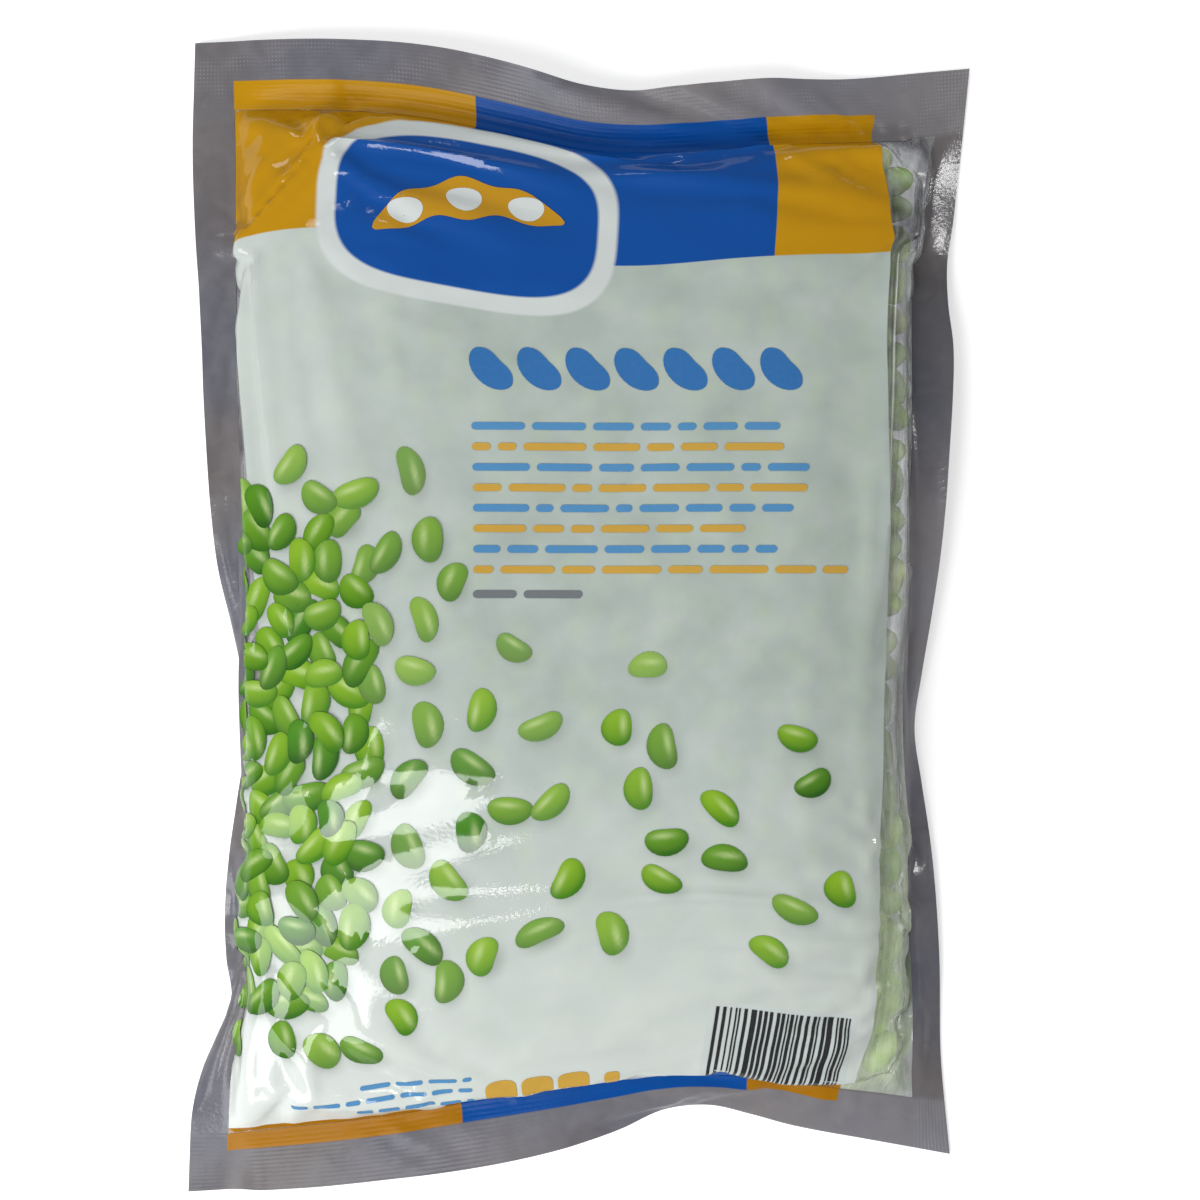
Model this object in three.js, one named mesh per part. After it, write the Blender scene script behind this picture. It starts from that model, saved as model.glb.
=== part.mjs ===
// A pouch of frozen shelled soybeans, lying on its back.
// Two webs of film are heat-sealed to each other along all four sides, and the loose beans inside
// swell them into a pillow, which draws the sides in, tips the seals down and leaves four flat corners.
// Millimetres: +X across the pouch, +Y towards its top seal, +Z up through the printed face.
// The origin is under the middle of the pouch, on the surface that it lies on.

import * as THREE from "three";
import { mergeVertices } from "three/addons/utils/BufferGeometryUtils.js";

const { clamp, lerp } = THREE.MathUtils;

// --- Driving dimensions -------------------------------------------------------------------------

const FLAT_WIDTH = 200; // the empty pouch, seals included
const FLAT_LENGTH = 297;
const SIDE_SEAL = 10; // seal widths
const TOP_SEAL = 17;
const BOTTOM_SEAL = 14.5;
const FILM_WALL = 0.25; // one web
const SEAL_WALL = 0.6; // two webs fused, with the embossing of the seal bars
const WEB_GAP = 0.4; // between parts that touch in the real pouch

const THICK_MIDDLE = 30.5; // pouch height over its fullest part
const THICK_ENDS = 25.5; // pouch height towards the top and bottom seals
const FULLEST_AT = 0.42; // share of the length, from the bottom seam
const FULL_SPREAD = 0.26;
const SEAM_MIDDLE = 13; // height of the seam at the middle of each side
const SEAM_CORNER = 3.2; // and at the corners, which hang down
const EDGE_LOWEST = 0.7; // the free edge stays this far off the ground
const RIPPLE = 0.8; // waves along the free edge

const BEAN_LENGTH = 12.4;
const BEAN_WIDTH = 8.6;
const BEAN_HEIGHT = 7.6;
const BEAN_PITCH = 13.3; // along the window beside the print
const BEAN_CLEARANCE = 0.7; // between a bean and the film

const FILM_COLOUR = 0xd3dcd7;
const CLEAR_COLOUR = 0xb9bcbf;
const SEAL_COLOUR = 0x7f7a80;
const BEAN_COLOUR = 0x9fb56d;

// The free edge of the seals seen from above, drawn in where the pouch is full, with a fold at each nick.
const EDGE = {
  left: [
    [-99.5, -146.5], [-98.2, -124.5], [-94.5, -111.5], [-88.6, -98.5], [-90.4, -82], [-89, -61],
    [-84.8, -30], [-85.6, -14.5], [-91.6, 14], [-93.8, 37], [-96, 79], [-98.1, 118], [-97.8, 146.5],
  ],
  right: [
    [94.8, -137], [92.4, -112], [92, -89.5], [90.6, -67], [88, -46], [85.4, -31], [86.4, -19],
    [89.6, 1], [92.2, 20], [93.8, 42], [94.9, 68], [93.4, 86], [95.2, 99], [97.4, 117], [99.8, 140],
  ],
  bottom: [
    [-99.5, -146.5], [-67.8, -144.6], [-47.5, -142], [-27.5, -139], [-7.5, -135], [10.5, -130],
    [27, -124], [40, -125.8], [55.5, -129.8], [73, -133], [94.8, -137],
  ],
  top: [
    [-97.8, 146.5], [-62, 146.5], [-39.5, 144.8], [-19.5, 140.5], [-4.5, 136], [7, 133.4],
    [20.5, 133.8], [45.5, 136.2], [68, 137], [84, 138.6], [99.8, 140],
  ],
};

// The seam, which is the inner edge of the seals.
const SEAM = {
  left: [
    [-89.2, -132], [-87.6, -113], [-84.2, -100.5], [-85.8, -88], [-85.6, -60], [-83, -25],
    [-83, 10], [-86.2, 70], [-87.6, 129.5],
  ],
  right: [
    [84.8, -122.5], [84.2, -96], [81.6, -48], [79.6, -22], [81.8, 4], [84, 48], [84.6, 84], [91, 123],
  ],
  bottom: [
    [-89.2, -132], [-52, -127], [-27, -122.6], [-4.5, -119.4], [14, -116.6], [27, -115.2],
    [43, -116.8], [66, -120], [84.8, -122.5],
  ],
  top: [
    [-87.6, 129.5], [-60, 129.2], [-39.5, 127], [-19.5, 122.6], [3, 117.6], [20, 116.8],
    [45, 119], [70, 121], [91, 123],
  ],
};

// --- Plan ----------------------------------------------------------------------------------------

const splines = (sides) =>
  Object.fromEntries(
    Object.entries(sides).map(([side, points]) => [
      side,
      new THREE.CatmullRomCurve3(points.map(([x, y]) => new THREE.Vector3(x, y, 0))),
    ]),
  );

const edge = splines(EDGE);
const seam = splines(SEAM);

// A point between the four seams, as a Coons patch: s across and t along, each from 0 to 1.
function between(s, t) {
  const sides = new THREE.Vector3()
    .addScaledVector(seam.left.getPointAt(t), 1 - s)
    .addScaledVector(seam.right.getPointAt(t), s);
  const ends = new THREE.Vector3()
    .addScaledVector(seam.bottom.getPointAt(s), 1 - t)
    .addScaledVector(seam.top.getPointAt(s), t);
  const corners = new THREE.Vector3()
    .addScaledVector(seam.left.getPointAt(0), (1 - s) * (1 - t))
    .addScaledVector(seam.right.getPointAt(0), s * (1 - t))
    .addScaledVector(seam.left.getPointAt(1), (1 - s) * t)
    .addScaledVector(seam.right.getPointAt(1), s * t);
  return sides.add(ends).sub(corners);
}

// The share of an edge's whole length at which a share of its seam lies.
const alongEdge = (t) =>
  lerp(BOTTOM_SEAL / FLAT_LENGTH, 1 - TOP_SEAL / FLAT_LENGTH, t);
const acrossEdge = (s) => lerp(SIDE_SEAL / FLAT_WIDTH, 1 - SIDE_SEAL / FLAT_WIDTH, s);

// --- Heights -------------------------------------------------------------------------------------

// 1 over the filled middle, falling to 0 at the seams.
function swell(s, t, power, shape) {
  const side = 1 - Math.abs(2 * s - 1) ** power;
  const end = 1 - Math.abs(2 * t - 1) ** power;
  return (Math.max(side, 0) * Math.max(end, 0)) ** shape;
}

function seamHeight(s, t) {
  const side = Math.sin(Math.PI * clamp(s, 0, 1)) ** 0.8;
  const end = Math.sin(Math.PI * clamp(t, 0, 1)) ** 0.8;
  return lerp(SEAM_CORNER, SEAM_MIDDLE, 1 - (1 - side) * (1 - end));
}

// A seal keeps its width, so where the plan leaves it less room it tips down.
function edgeHeight(seamPoint, edgePoint, width) {
  const room = Math.hypot(seamPoint.x - edgePoint.x, seamPoint.y - edgePoint.y);
  const drop = Math.sqrt(Math.max(width ** 2 - room ** 2, 0));
  const wave = RIPPLE * Math.sin(edgePoint.x / 11 + edgePoint.y / 17);
  return Math.max(seamPoint.z - drop + wave, EDGE_LOWEST + 0.5 * Math.abs(wave));
}

function frontSurface(s, t) {
  const point = between(s, t);
  const low = seamHeight(s, t) + WEB_GAP;
  const full = Math.exp(-(((t - FULLEST_AT) / FULL_SPREAD) ** 2));
  const high = lerp(THICK_ENDS, THICK_MIDDLE, full);
  point.z = lerp(low, high, swell(s, t, 4.5, 0.5));
  return point;
}

function backSurface(s, t) {
  const point = between(s, t);
  const pressedFlat = Math.min(1, 1.4 * swell(s, t, 4.5, 0.6));
  point.z = (seamHeight(s, t) - WEB_GAP) * (1 - pressedFlat);
  return point;
}

// --- Solids --------------------------------------------------------------------------------------

// Shares from low to high, closer together towards both ends.
function shares(low, high, count) {
  return Array.from({ length: count + 1 }, (_, i) => {
    const even = i / count;
    const eased = (1 - Math.cos(Math.PI * even)) / 2;
    return lerp(low, high, lerp(even, eased, 0.7));
  });
}

// A closed solid between two grids of points, upper over lower.
function slab(upper, lower) {
  const [rows, columns] = [upper.length, upper[0].length];
  const positions = [...upper.flat(), ...lower.flat()].flatMap((p) => p.toArray());
  const id = (layer, i, j) => layer * rows * columns + j * columns + i;
  const faces = [];
  const quad = (a, b, c, d) => faces.push(a, b, c, a, c, d);
  for (let j = 0; j + 1 < rows; j++)
    for (let i = 0; i + 1 < columns; i++) {
      quad(id(0, i, j), id(0, i + 1, j), id(0, i + 1, j + 1), id(0, i, j + 1));
      quad(id(1, i, j), id(1, i, j + 1), id(1, i + 1, j + 1), id(1, i + 1, j));
    }
  for (let i = 0; i + 1 < columns; i++) {
    const last = rows - 1;
    quad(id(0, i, 0), id(1, i, 0), id(1, i + 1, 0), id(0, i + 1, 0));
    quad(id(0, i, last), id(0, i + 1, last), id(1, i + 1, last), id(1, i, last));
  }
  for (let j = 0; j + 1 < rows; j++) {
    const last = columns - 1;
    quad(id(0, 0, j), id(0, 0, j + 1), id(1, 0, j + 1), id(1, 0, j));
    quad(id(0, last, j), id(1, last, j), id(1, last, j + 1), id(0, last, j + 1));
  }
  return new THREE.BufferGeometry()
    .setAttribute("position", new THREE.Float32BufferAttribute(positions, 3))
    .setIndex(faces);
}

// A grid of points moved along its own normals, which point up.
function offset(grid, distance) {
  const [rows, columns] = [grid.length, grid[0].length];
  return grid.map((row, j) =>
    row.map((point, i) => {
      const east = row[Math.min(i + 1, columns - 1)].clone().sub(row[Math.max(i - 1, 0)]);
      const north = grid[Math.min(j + 1, rows - 1)][i]
        .clone()
        .sub(grid[Math.max(j - 1, 0)][i]);
      return point.clone().addScaledVector(east.cross(north).normalize(), distance);
    }),
  );
}

function plastic(color, roughness, opacity = 1) {
  return new THREE.MeshStandardMaterial({
    color,
    roughness,
    metalness: 0,
    opacity,
    transparent: opacity < 1,
  });
}

const printedFilm = plastic(FILM_COLOUR, 0.28, 0.95);
const clearFilm = plastic(CLEAR_COLOUR, 0.2, 0.3);
const sealedFilm = plastic(SEAL_COLOUR, 0.35, 0.8);
const frozenBean = plastic(BEAN_COLOUR, 0.6);

function part(name, geometry, material) {
  const mesh = new THREE.Mesh(geometry, material);
  mesh.name = name;
  return mesh;
}

const grid = (surface, across, along) => along.map((t) => across.map((s) => surface(s, t)));

const GAP_S = WEB_GAP / (FLAT_WIDTH - 2 * SIDE_SEAL);
const GAP_T = WEB_GAP / (FLAT_LENGTH - TOP_SEAL - BOTTOM_SEAL);
const ALONG = shares(GAP_T, 1 - GAP_T, 24);

function frontWeb() {
  const outside = grid(frontSurface, shares(GAP_S, 1 - GAP_S, 16), ALONG);
  return part("front_web", slab(outside, offset(outside, -FILM_WALL)), printedFilm);
}

function backWeb() {
  const outside = grid(backSurface, shares(GAP_S, 1 - GAP_S, 12), ALONG);
  return part("back_web", slab(offset(outside, FILM_WALL), outside), clearFilm);
}

function sealSolid(name, middle) {
  const solid = slab(offset(middle, SEAL_WALL / 2), offset(middle, -SEAL_WALL / 2));
  return part(name, solid, sealedFilm);
}

const STEPS_ACROSS_SEAL = 2;

// Points across a seal, from low to high, where one of the two lies on the seam.
function rungs(low, high) {
  return Array.from({ length: STEPS_ACROSS_SEAL + 1 }, (_, k) =>
    low.clone().lerp(high, k / STEPS_ACROSS_SEAL),
  );
}

// A side seal runs between the top and bottom seals.
function sideSeal(name, side, s) {
  const middle = ALONG.map((t) => {
    const inner = between(s, t);
    const outer = edge[side].getPointAt(alongEdge(t));
    inner.z = seamHeight(s, t);
    outer.z = edgeHeight(inner, outer, SIDE_SEAL);
    return side === "left" ? rungs(outer, inner) : rungs(inner, outer);
  });
  return sealSolid(name, middle);
}

// The top and bottom seals run the full width, over the ends of the side seals.
function endSeal(name, end, t, width) {
  const cornerOf = (side, s) => {
    const inner = between(s, t);
    inner.z = seamHeight(s, t);
    const outer = edge[side].getPointAt(alongEdge(t));
    outer.z = edgeHeight(inner, outer, SIDE_SEAL);
    return outer;
  };
  const columns = [
    { inner: cornerOf("left", 0), share: 0 },
    ...shares(0, 1, 20).map((s) => {
      const inner = between(s, t);
      inner.z = seamHeight(s, t);
      return { inner, share: acrossEdge(s) };
    }),
    { inner: cornerOf("right", 1), share: 1 },
  ].map(({ inner, share }) => {
    const outer = edge[end].getPointAt(share);
    outer.z = edgeHeight(inner, outer, width);
    return end === "bottom" ? rungs(outer, inner) : rungs(inner, outer);
  });
  const middle = columns[0].map((_, k) => columns.map((column) => column[k]));
  return sealSolid(name, middle);
}

// The heap of beans behind the print, as the one body that their mass makes.
const BED_EDGE = 0.84; // how far across the bed reaches on the window side
const BED_MARGIN = 2; // from the film to the bed

function beanBed() {
  const across = shares(0.035, BED_EDGE, 10);
  const along = shares(0.028, 0.972, 16);
  const upper = offset(grid(frontSurface, across, along), -BED_MARGIN);
  const lower = offset(grid(backSurface, across, along), BED_MARGIN);
  return part("bean_bed", slab(upper, lower), frozenBean);
}

// --- Loose beans in the clear window beside the print ----------------------------------------------

// A kidney-shaped seed: an ellipsoid along X, dented a little along one side.
function beanGeometry() {
  const ball = new THREE.SphereGeometry(1, 8, 5);
  ball.deleteAttribute("normal");
  ball.deleteAttribute("uv");
  const seed = mergeVertices(ball, 1e-4);
  const at = seed.getAttribute("position");
  for (let i = 0; i < at.count; i++) {
    const [x, y, z] = [at.getX(i), at.getY(i), at.getZ(i)];
    const curl = 0.16 * (x * x - 0.5);
    at.setXYZ(i, (x * BEAN_LENGTH) / 2, ((y + curl) * BEAN_WIDTH) / 2, (z * BEAN_HEIGHT) / 2);
  }
  return seed;
}

// Columns of beans: how far across, how high between the films (0 back, 1 front), how many.
const BEAN_COLUMNS = [
  { name: "edge_bean", across: 0.945, height: 0.5, count: 17, start: 0.085 },
  { name: "upper_bean", across: 0.893, height: 0.88, count: 18, start: 0.065 },
  { name: "lower_bean", across: 0.893, height: 0.08, count: 11, start: 0.21 },
];

function looseBeans() {
  const beans = [];
  const pitch = BEAN_PITCH / (FLAT_LENGTH - TOP_SEAL - BOTTOM_SEAL);
  const half = BEAN_HEIGHT / 2 + BEAN_CLEARANCE;
  for (const column of BEAN_COLUMNS)
    for (let n = 0; n < column.count; n++) {
      const sway = Math.sin(2.4 * n + 5 * column.across); // steady, but never quite repeating
      const t = column.start + n * pitch;
      const [low, high] = [backSurface(column.across, t), frontSurface(column.across, t)];
      const name = `${column.name}_${String(n + 1).padStart(2, "0")}`;
      const bean = part(name, beanGeometry(), frozenBean);
      const height = lerp(low.z + half, high.z - half, column.height);
      bean.position.set(low.x + 0.5 * sway, low.y, height);
      bean.rotation.set(0.25 * sway, 0.1 * Math.cos(1.7 * n), Math.PI / 2 + 0.2 * sway);
      beans.push(bean);
    }
  return beans;
}

// --- The pouch -------------------------------------------------------------------------------------

const pouch = new THREE.Group();
pouch.add(
  frontWeb(),
  backWeb(),
  endSeal("top_seal", "top", 1, TOP_SEAL),
  endSeal("bottom_seal", "bottom", 0, BOTTOM_SEAL),
  sideSeal("left_seal", "left", 0),
  sideSeal("right_seal", "right", 1),
  beanBed(),
  ...looseBeans(),
);

const size = new THREE.Box3().setFromObject(pouch, true);
pouch.position.set(-(size.min.x + size.max.x) / 2, -(size.min.y + size.max.y) / 2, -size.min.z);

export default pouch;
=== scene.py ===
"""A pouch of frozen shelled soybeans, lying on its back.

Two webs of clear film are sealed together along all four sides. The upper web carries a printed panel
that stops short of the right side, so that the loose beans show there. Lengths are millimetres until a
mesh is made, and every mesh is in metres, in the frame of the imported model.
"""

import math
from functools import partial

import bpy
import numpy as np
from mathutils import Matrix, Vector
from mathutils.bvhtree import BVHTree
from mathutils.kdtree import KDTree


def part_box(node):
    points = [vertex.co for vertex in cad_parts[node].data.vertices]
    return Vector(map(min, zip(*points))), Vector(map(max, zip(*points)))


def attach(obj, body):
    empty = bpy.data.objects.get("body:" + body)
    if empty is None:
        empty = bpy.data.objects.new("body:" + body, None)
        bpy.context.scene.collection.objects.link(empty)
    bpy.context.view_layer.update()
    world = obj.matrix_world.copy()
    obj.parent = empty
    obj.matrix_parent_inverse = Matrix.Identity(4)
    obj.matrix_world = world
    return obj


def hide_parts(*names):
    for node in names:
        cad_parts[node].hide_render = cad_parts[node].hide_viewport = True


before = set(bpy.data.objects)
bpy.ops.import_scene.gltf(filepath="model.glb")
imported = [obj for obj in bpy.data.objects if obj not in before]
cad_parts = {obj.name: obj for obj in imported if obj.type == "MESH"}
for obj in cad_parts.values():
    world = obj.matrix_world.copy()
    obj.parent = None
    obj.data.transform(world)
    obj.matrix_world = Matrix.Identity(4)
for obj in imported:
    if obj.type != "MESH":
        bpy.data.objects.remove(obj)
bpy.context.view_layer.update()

MM = 0.001

# --- Driving dimensions ---------------------------------------------------------------------------

FLAT_WIDTH, FLAT_LENGTH = 200.0, 297.0  # the empty pouch, seals included
SIDE_SEAL, TOP_SEAL, BOTTOM_SEAL = 10.0, 17.0, 14.5
WEB = 0.12  # one web of film
SEALED = 0.3  # two webs fused

PANEL = (-90.0, 77.5, -138.0, 138.5)  # the printed panel on the flat film: left, right, bottom, top
TRIM_RIGHT = (  # how far the print reaches towards the window, from the bottom up: V, U
    (-139, 70.0), (-126, 71.0), (-113, 73.0), (-98, 72.4), (-84, 73.0), (-60, 75.1), (-46, 77.0),
    (-31, 78.4), (-12, 79.3), (4, 78.8), (22, 76.9), (48, 75.2), (70, 74.3), (91, 74.6), (103, 73.0),
    (113, 72.3), (122, 71.5), (131, 72.0), (139, 75.0),
)
TRIM_LEFT = (  # and to the left, where a sliver of clear film shows in two places
    (-139, -90.0), (-118, -90.0), (-110, -88.0), (-102, -84.2), (-95, -85.5), (-87, -90.0), (-45, -90.0),
    (-35, -84.5), (-26, -80.5), (-19, -79.4), (-12, -80.0), (0, -81.0), (18, -82.4), (34, -82.8),
    (58, -84.0), (76, -85.0), (90, -89.8), (139, -90.0),
)
HEADER_FOOT = 93.2  # the coloured blocks reach down to here
FOOTER_HEAD = -132.5  # and the narrow ones at the bottom reach up to here
BLUE_BLOCK = (-28.0, 46.0)  # between two yellow blocks

BADGE = (-26.5, 101.5)  # middle of the badge
BADGE_BORDER, BADGE_PLATE = (35.5, 24.5), (31.0, 20.0)  # half widths and heights
BAR_FIELD = ((32.3, 68.6), (-131.0, -106.2))  # the white field behind the bar pattern

BEAN = (12.4, 8.6, 7.6)  # length, width, height
LOOSE_BEANS = 860
BEAN_RADIUS = 4.1  # of the two balls that stand for a bean while the heap settles
BALL_OFFSET = 2.1  # of each ball from the bean's middle

FILM_STEP = 2.6  # grid of the simulated film
SIM_SCALE = 10.0  # the film is simulated ten times as big, where the solver is steadier
UV_SPAN = 300.0  # of the flat film in one unit of its UV map


def linear(hex_colour):
    """An sRGB hex colour as linear RGBA."""
    def channel(value):
        value /= 255
        return value / 12.92 if value <= 0.04045 else ((value + 0.055) / 1.055) ** 2.4

    digits = hex_colour.lstrip("#")
    return (*(channel(int(digits[i : i + 2], 16)) for i in (0, 2, 4)), 1.0)


# --- Scene: camera, light, floor --------------------------------------------------------------------

VIEW_CENTRE = (5.35, 4.3)  # straight above this point of the pouch
VIEW_WIDTH = 300.0
VIEW_DISTANCE = 900.0
FILM_CROWN = 20.0  # the height at which the view is that wide: about that of the film on the heap


def set_camera():
    """The camera looks straight down, and colours are shown as they are written."""
    bpy.ops.object.camera_add(rotation=(0, 0, 0))
    camera = bpy.context.object
    x, y = VIEW_CENTRE
    camera.location = (x * MM, y * MM, (VIEW_DISTANCE + FILM_CROWN) * MM)
    camera.data.sensor_width = 36
    camera.data.lens = 36 * VIEW_DISTANCE / VIEW_WIDTH
    camera.data.clip_start = 0.01
    bpy.context.scene.camera = camera
    bpy.context.scene.view_settings.view_transform = "Standard"


def softbox(name, at, size, watts):
    """A rectangular light that faces the middle of the pouch."""
    bpy.ops.object.light_add(type="AREA", location=at)
    light = bpy.context.object
    light.name = name
    light.rotation_euler = (light.location - Vector((0, 0, 0.01))).to_track_quat("Z", "Y").to_euler()
    light.data.shape = "RECTANGLE"
    light.data.size, light.data.size_y = size
    light.data.energy = watts


def add_node(tree, kind, inputs=(), output=0, **settings):
    """Adds a node with its settings, and with a value, a hex colour or a link for each input, by name or
    in order. Returns one of its outputs, ready to be linked."""
    node = tree.nodes.new("ShaderNode" + kind)
    for name, value in settings.items():
        setattr(node, name, value)
    for name, value in inputs.items() if isinstance(inputs, dict) else enumerate(inputs):
        if isinstance(value, bpy.types.NodeSocket):
            tree.links.new(value, node.inputs[name])
        else:
            node.inputs[name].default_value = linear(value) if isinstance(value, str) else value
    return node.outputs[output] if node.outputs else None


def new_material(name):
    """An empty material, and what adds a node to it."""
    material = bpy.data.materials.new(name)
    material.use_nodes = True
    material.node_tree.nodes.clear()
    return material, partial(add_node, material.node_tree)


def set_world():
    """Dim air that lights the pouch evenly; seen directly or through film it is plain white."""
    world = bpy.data.worlds.new("studio_air")
    bpy.context.scene.world = world
    world.use_nodes = True
    world.node_tree.nodes.clear()
    add = partial(add_node, world.node_tree)
    direct, through = (add("LightPath", output=f"Is {ray} Ray") for ray in ("Camera", "Transmission"))
    seen = add("Math", (direct, through), operation="MAXIMUM")
    air = add("Background", {"Color": "#eef0f2", "Strength": 0.19})
    white = add("Background", {"Color": "#ffffff", "Strength": 1.0})
    both = add("MixShader", (seen, air, white))
    add("OutputWorld", {"Surface": both})


def make_floor():
    """White paper: it is white in view and keeps the pouch's soft shadow."""
    bpy.ops.mesh.primitive_plane_add(size=4, location=(0, 0, 0))
    floor = bpy.context.object
    floor.name = "paper_floor"
    material, add = new_material("white_background_paper")
    direct = add("LightPath", output="Is Camera Ray")
    paper = add("BsdfDiffuse", {"Color": "#efefef"})
    lift = add("Emission", {"Color": "#ffffff", "Strength": 0.5})
    seen = add("AddShader", (paper, lift))
    both = add("MixShader", (direct, paper, seen))
    add("OutputMaterial", {"Surface": both})
    floor.data.materials.append(material)


# --- Plan: the seams and the free edges, from the CAD seals ------------------------------------------

UPRIGHT_EDGE = 1.0  # longer than the seals are thick, and shorter than any edge in their plan


def strip_sides(node):
    """The two long sides of a CAD seal strip, each a line of points in order, in millimetres.

    A strip is a thin slab, so each point of its rim has a short upright edge. The middles of those
    edges, joined through the wall's triangles, make one loop with four sharp corners."""
    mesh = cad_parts[node].data
    raw = np.array([v.co for v in mesh.vertices]) / MM
    points, index = np.unique(raw.round(3), axis=0, return_inverse=True)
    index = index.ravel()
    triangles = [[int(index[v]) for v in face.vertices] for face in mesh.polygons]
    partner = {}
    for a, b, c in triangles:
        for p, q in ((a, b), (b, c), (c, a)):
            if np.linalg.norm(points[p] - points[q]) < UPRIGHT_EDGE:
                partner[p], partner[q] = q, p
    beside = {}
    for triangle in triangles:
        rims = {min(p, partner[p]) for p in triangle if p in partner}
        if len(rims) == 2 and len({p for p in triangle if partner.get(p) in triangle}) == 2:
            p, q = rims
            beside.setdefault(p, set()).add(q)
            beside.setdefault(q, set()).add(p)
    start = min(beside)
    loop, previous = [start], None
    while True:
        onward = [p for p in sorted(beside[loop[-1]]) if p != previous]
        previous = loop[-1]
        if onward[0] == start and len(loop) > 2:
            break
        loop.append(onward[0])
    line = np.array([(points[p] + points[partner[p]]) / 2 for p in loop])
    before, after = line - np.roll(line, 1, axis=0), np.roll(line, -1, axis=0) - line
    turn = np.abs(np.arctan2(
        before[:, 0] * after[:, 1] - before[:, 1] * after[:, 0], (before[:, :2] * after[:, :2]).sum(1)
    ))
    corners = sorted(np.argsort(turn)[-4:])
    line = np.roll(line, -corners[0], axis=0)
    corners = [c - corners[0] for c in corners] + [len(line)]
    line = np.vstack([line, line[:1]])
    sides = [line[corners[i] : corners[i + 1] + 1] for i in range(4)]
    return sorted(sides, key=len)[-2:]


def ordered_sides(node, along, outward):
    """(outer side, inner side) of a seal strip, both running up the axis named along (0 x, 1 y)."""
    sides = [s if s[0, along] < s[-1, along] else s[::-1] for s in strip_sides(node)]
    sides.sort(key=lambda s: s[:, 1 - along].mean() * outward)
    return sides[1], sides[0]


def bell(values, width, power=2):
    """1 where the values are 0, falling to nothing a little beyond width to either side."""
    return np.exp(-((values / width) ** power))


def ramp(values, width):
    """0 up to where the values are 0, then rising to 1 at width."""
    return np.clip(values / width, 0, 1)


def along_line(line, shares):
    """Points at these shares of a line's length in plan, on a smooth curve through its points."""
    steps = np.hypot(*np.diff(line[:, :2], axis=0).T)
    at = np.concatenate([[0], np.cumsum(steps)]) / steps.sum()
    slope = np.gradient(line, at, axis=0)
    shares = np.clip(shares, 0, 1)
    i = np.clip(np.searchsorted(at, shares, side="right") - 1, 0, len(at) - 2)
    gap = (at[i + 1] - at[i])[:, None]
    t = (shares - at[i])[:, None] / gap
    return (
        (2 * t**3 - 3 * t**2 + 1) * line[i]
        + (t**3 - 2 * t**2 + t) * gap * slope[i]
        + (3 * t**2 - 2 * t**3) * line[i + 1]
        + (t**3 - t**2) * gap * slope[i + 1]
    )


def flat_axis(length, low_seal, high_seal):
    """Grid positions across the flat pouch, with lines on both seams; also the seams' indices."""
    ends = (-length / 2, -length / 2 + low_seal, length / 2 - high_seal, length / 2)
    low, middle, high = (
        np.linspace(start, stop, max(3, round(width / FILM_STEP)) + 1)
        for start, stop, width in zip(ends, ends[1:], (low_seal, ends[2] - ends[1], high_seal))
    )
    return np.concatenate([low[:-1], middle, high[1:]]), len(low) - 1, len(low) + len(middle) - 2


U, U_LOW, U_HIGH = flat_axis(FLAT_WIDTH, SIDE_SEAL, SIDE_SEAL)
V, V_LOW, V_HIGH = flat_axis(FLAT_LENGTH, BOTTOM_SEAL, TOP_SEAL)
SEAM_U = FLAT_WIDTH / 2 - SIDE_SEAL  # of the right seam; the left one is its mirror image
COLUMNS, ROWS = len(U), len(V)
WEB_AREA = (slice(V_LOW, V_HIGH + 1), slice(U_LOW, U_HIGH + 1))  # inside the seals, seams included
FINE_U, FINE_V = (  # the finished film has a line more between every two
    np.interp(np.arange(2 * len(lines) - 1) / 2, np.arange(len(lines)), lines) for lines in (U, V)
)
ACROSS = np.clip((U - U[U_LOW]) / (U[U_HIGH] - U[U_LOW]), 0, 1)
ALONG = np.clip((V - V[V_LOW]) / (V[V_HIGH] - V[V_LOW]), 0, 1)


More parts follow.
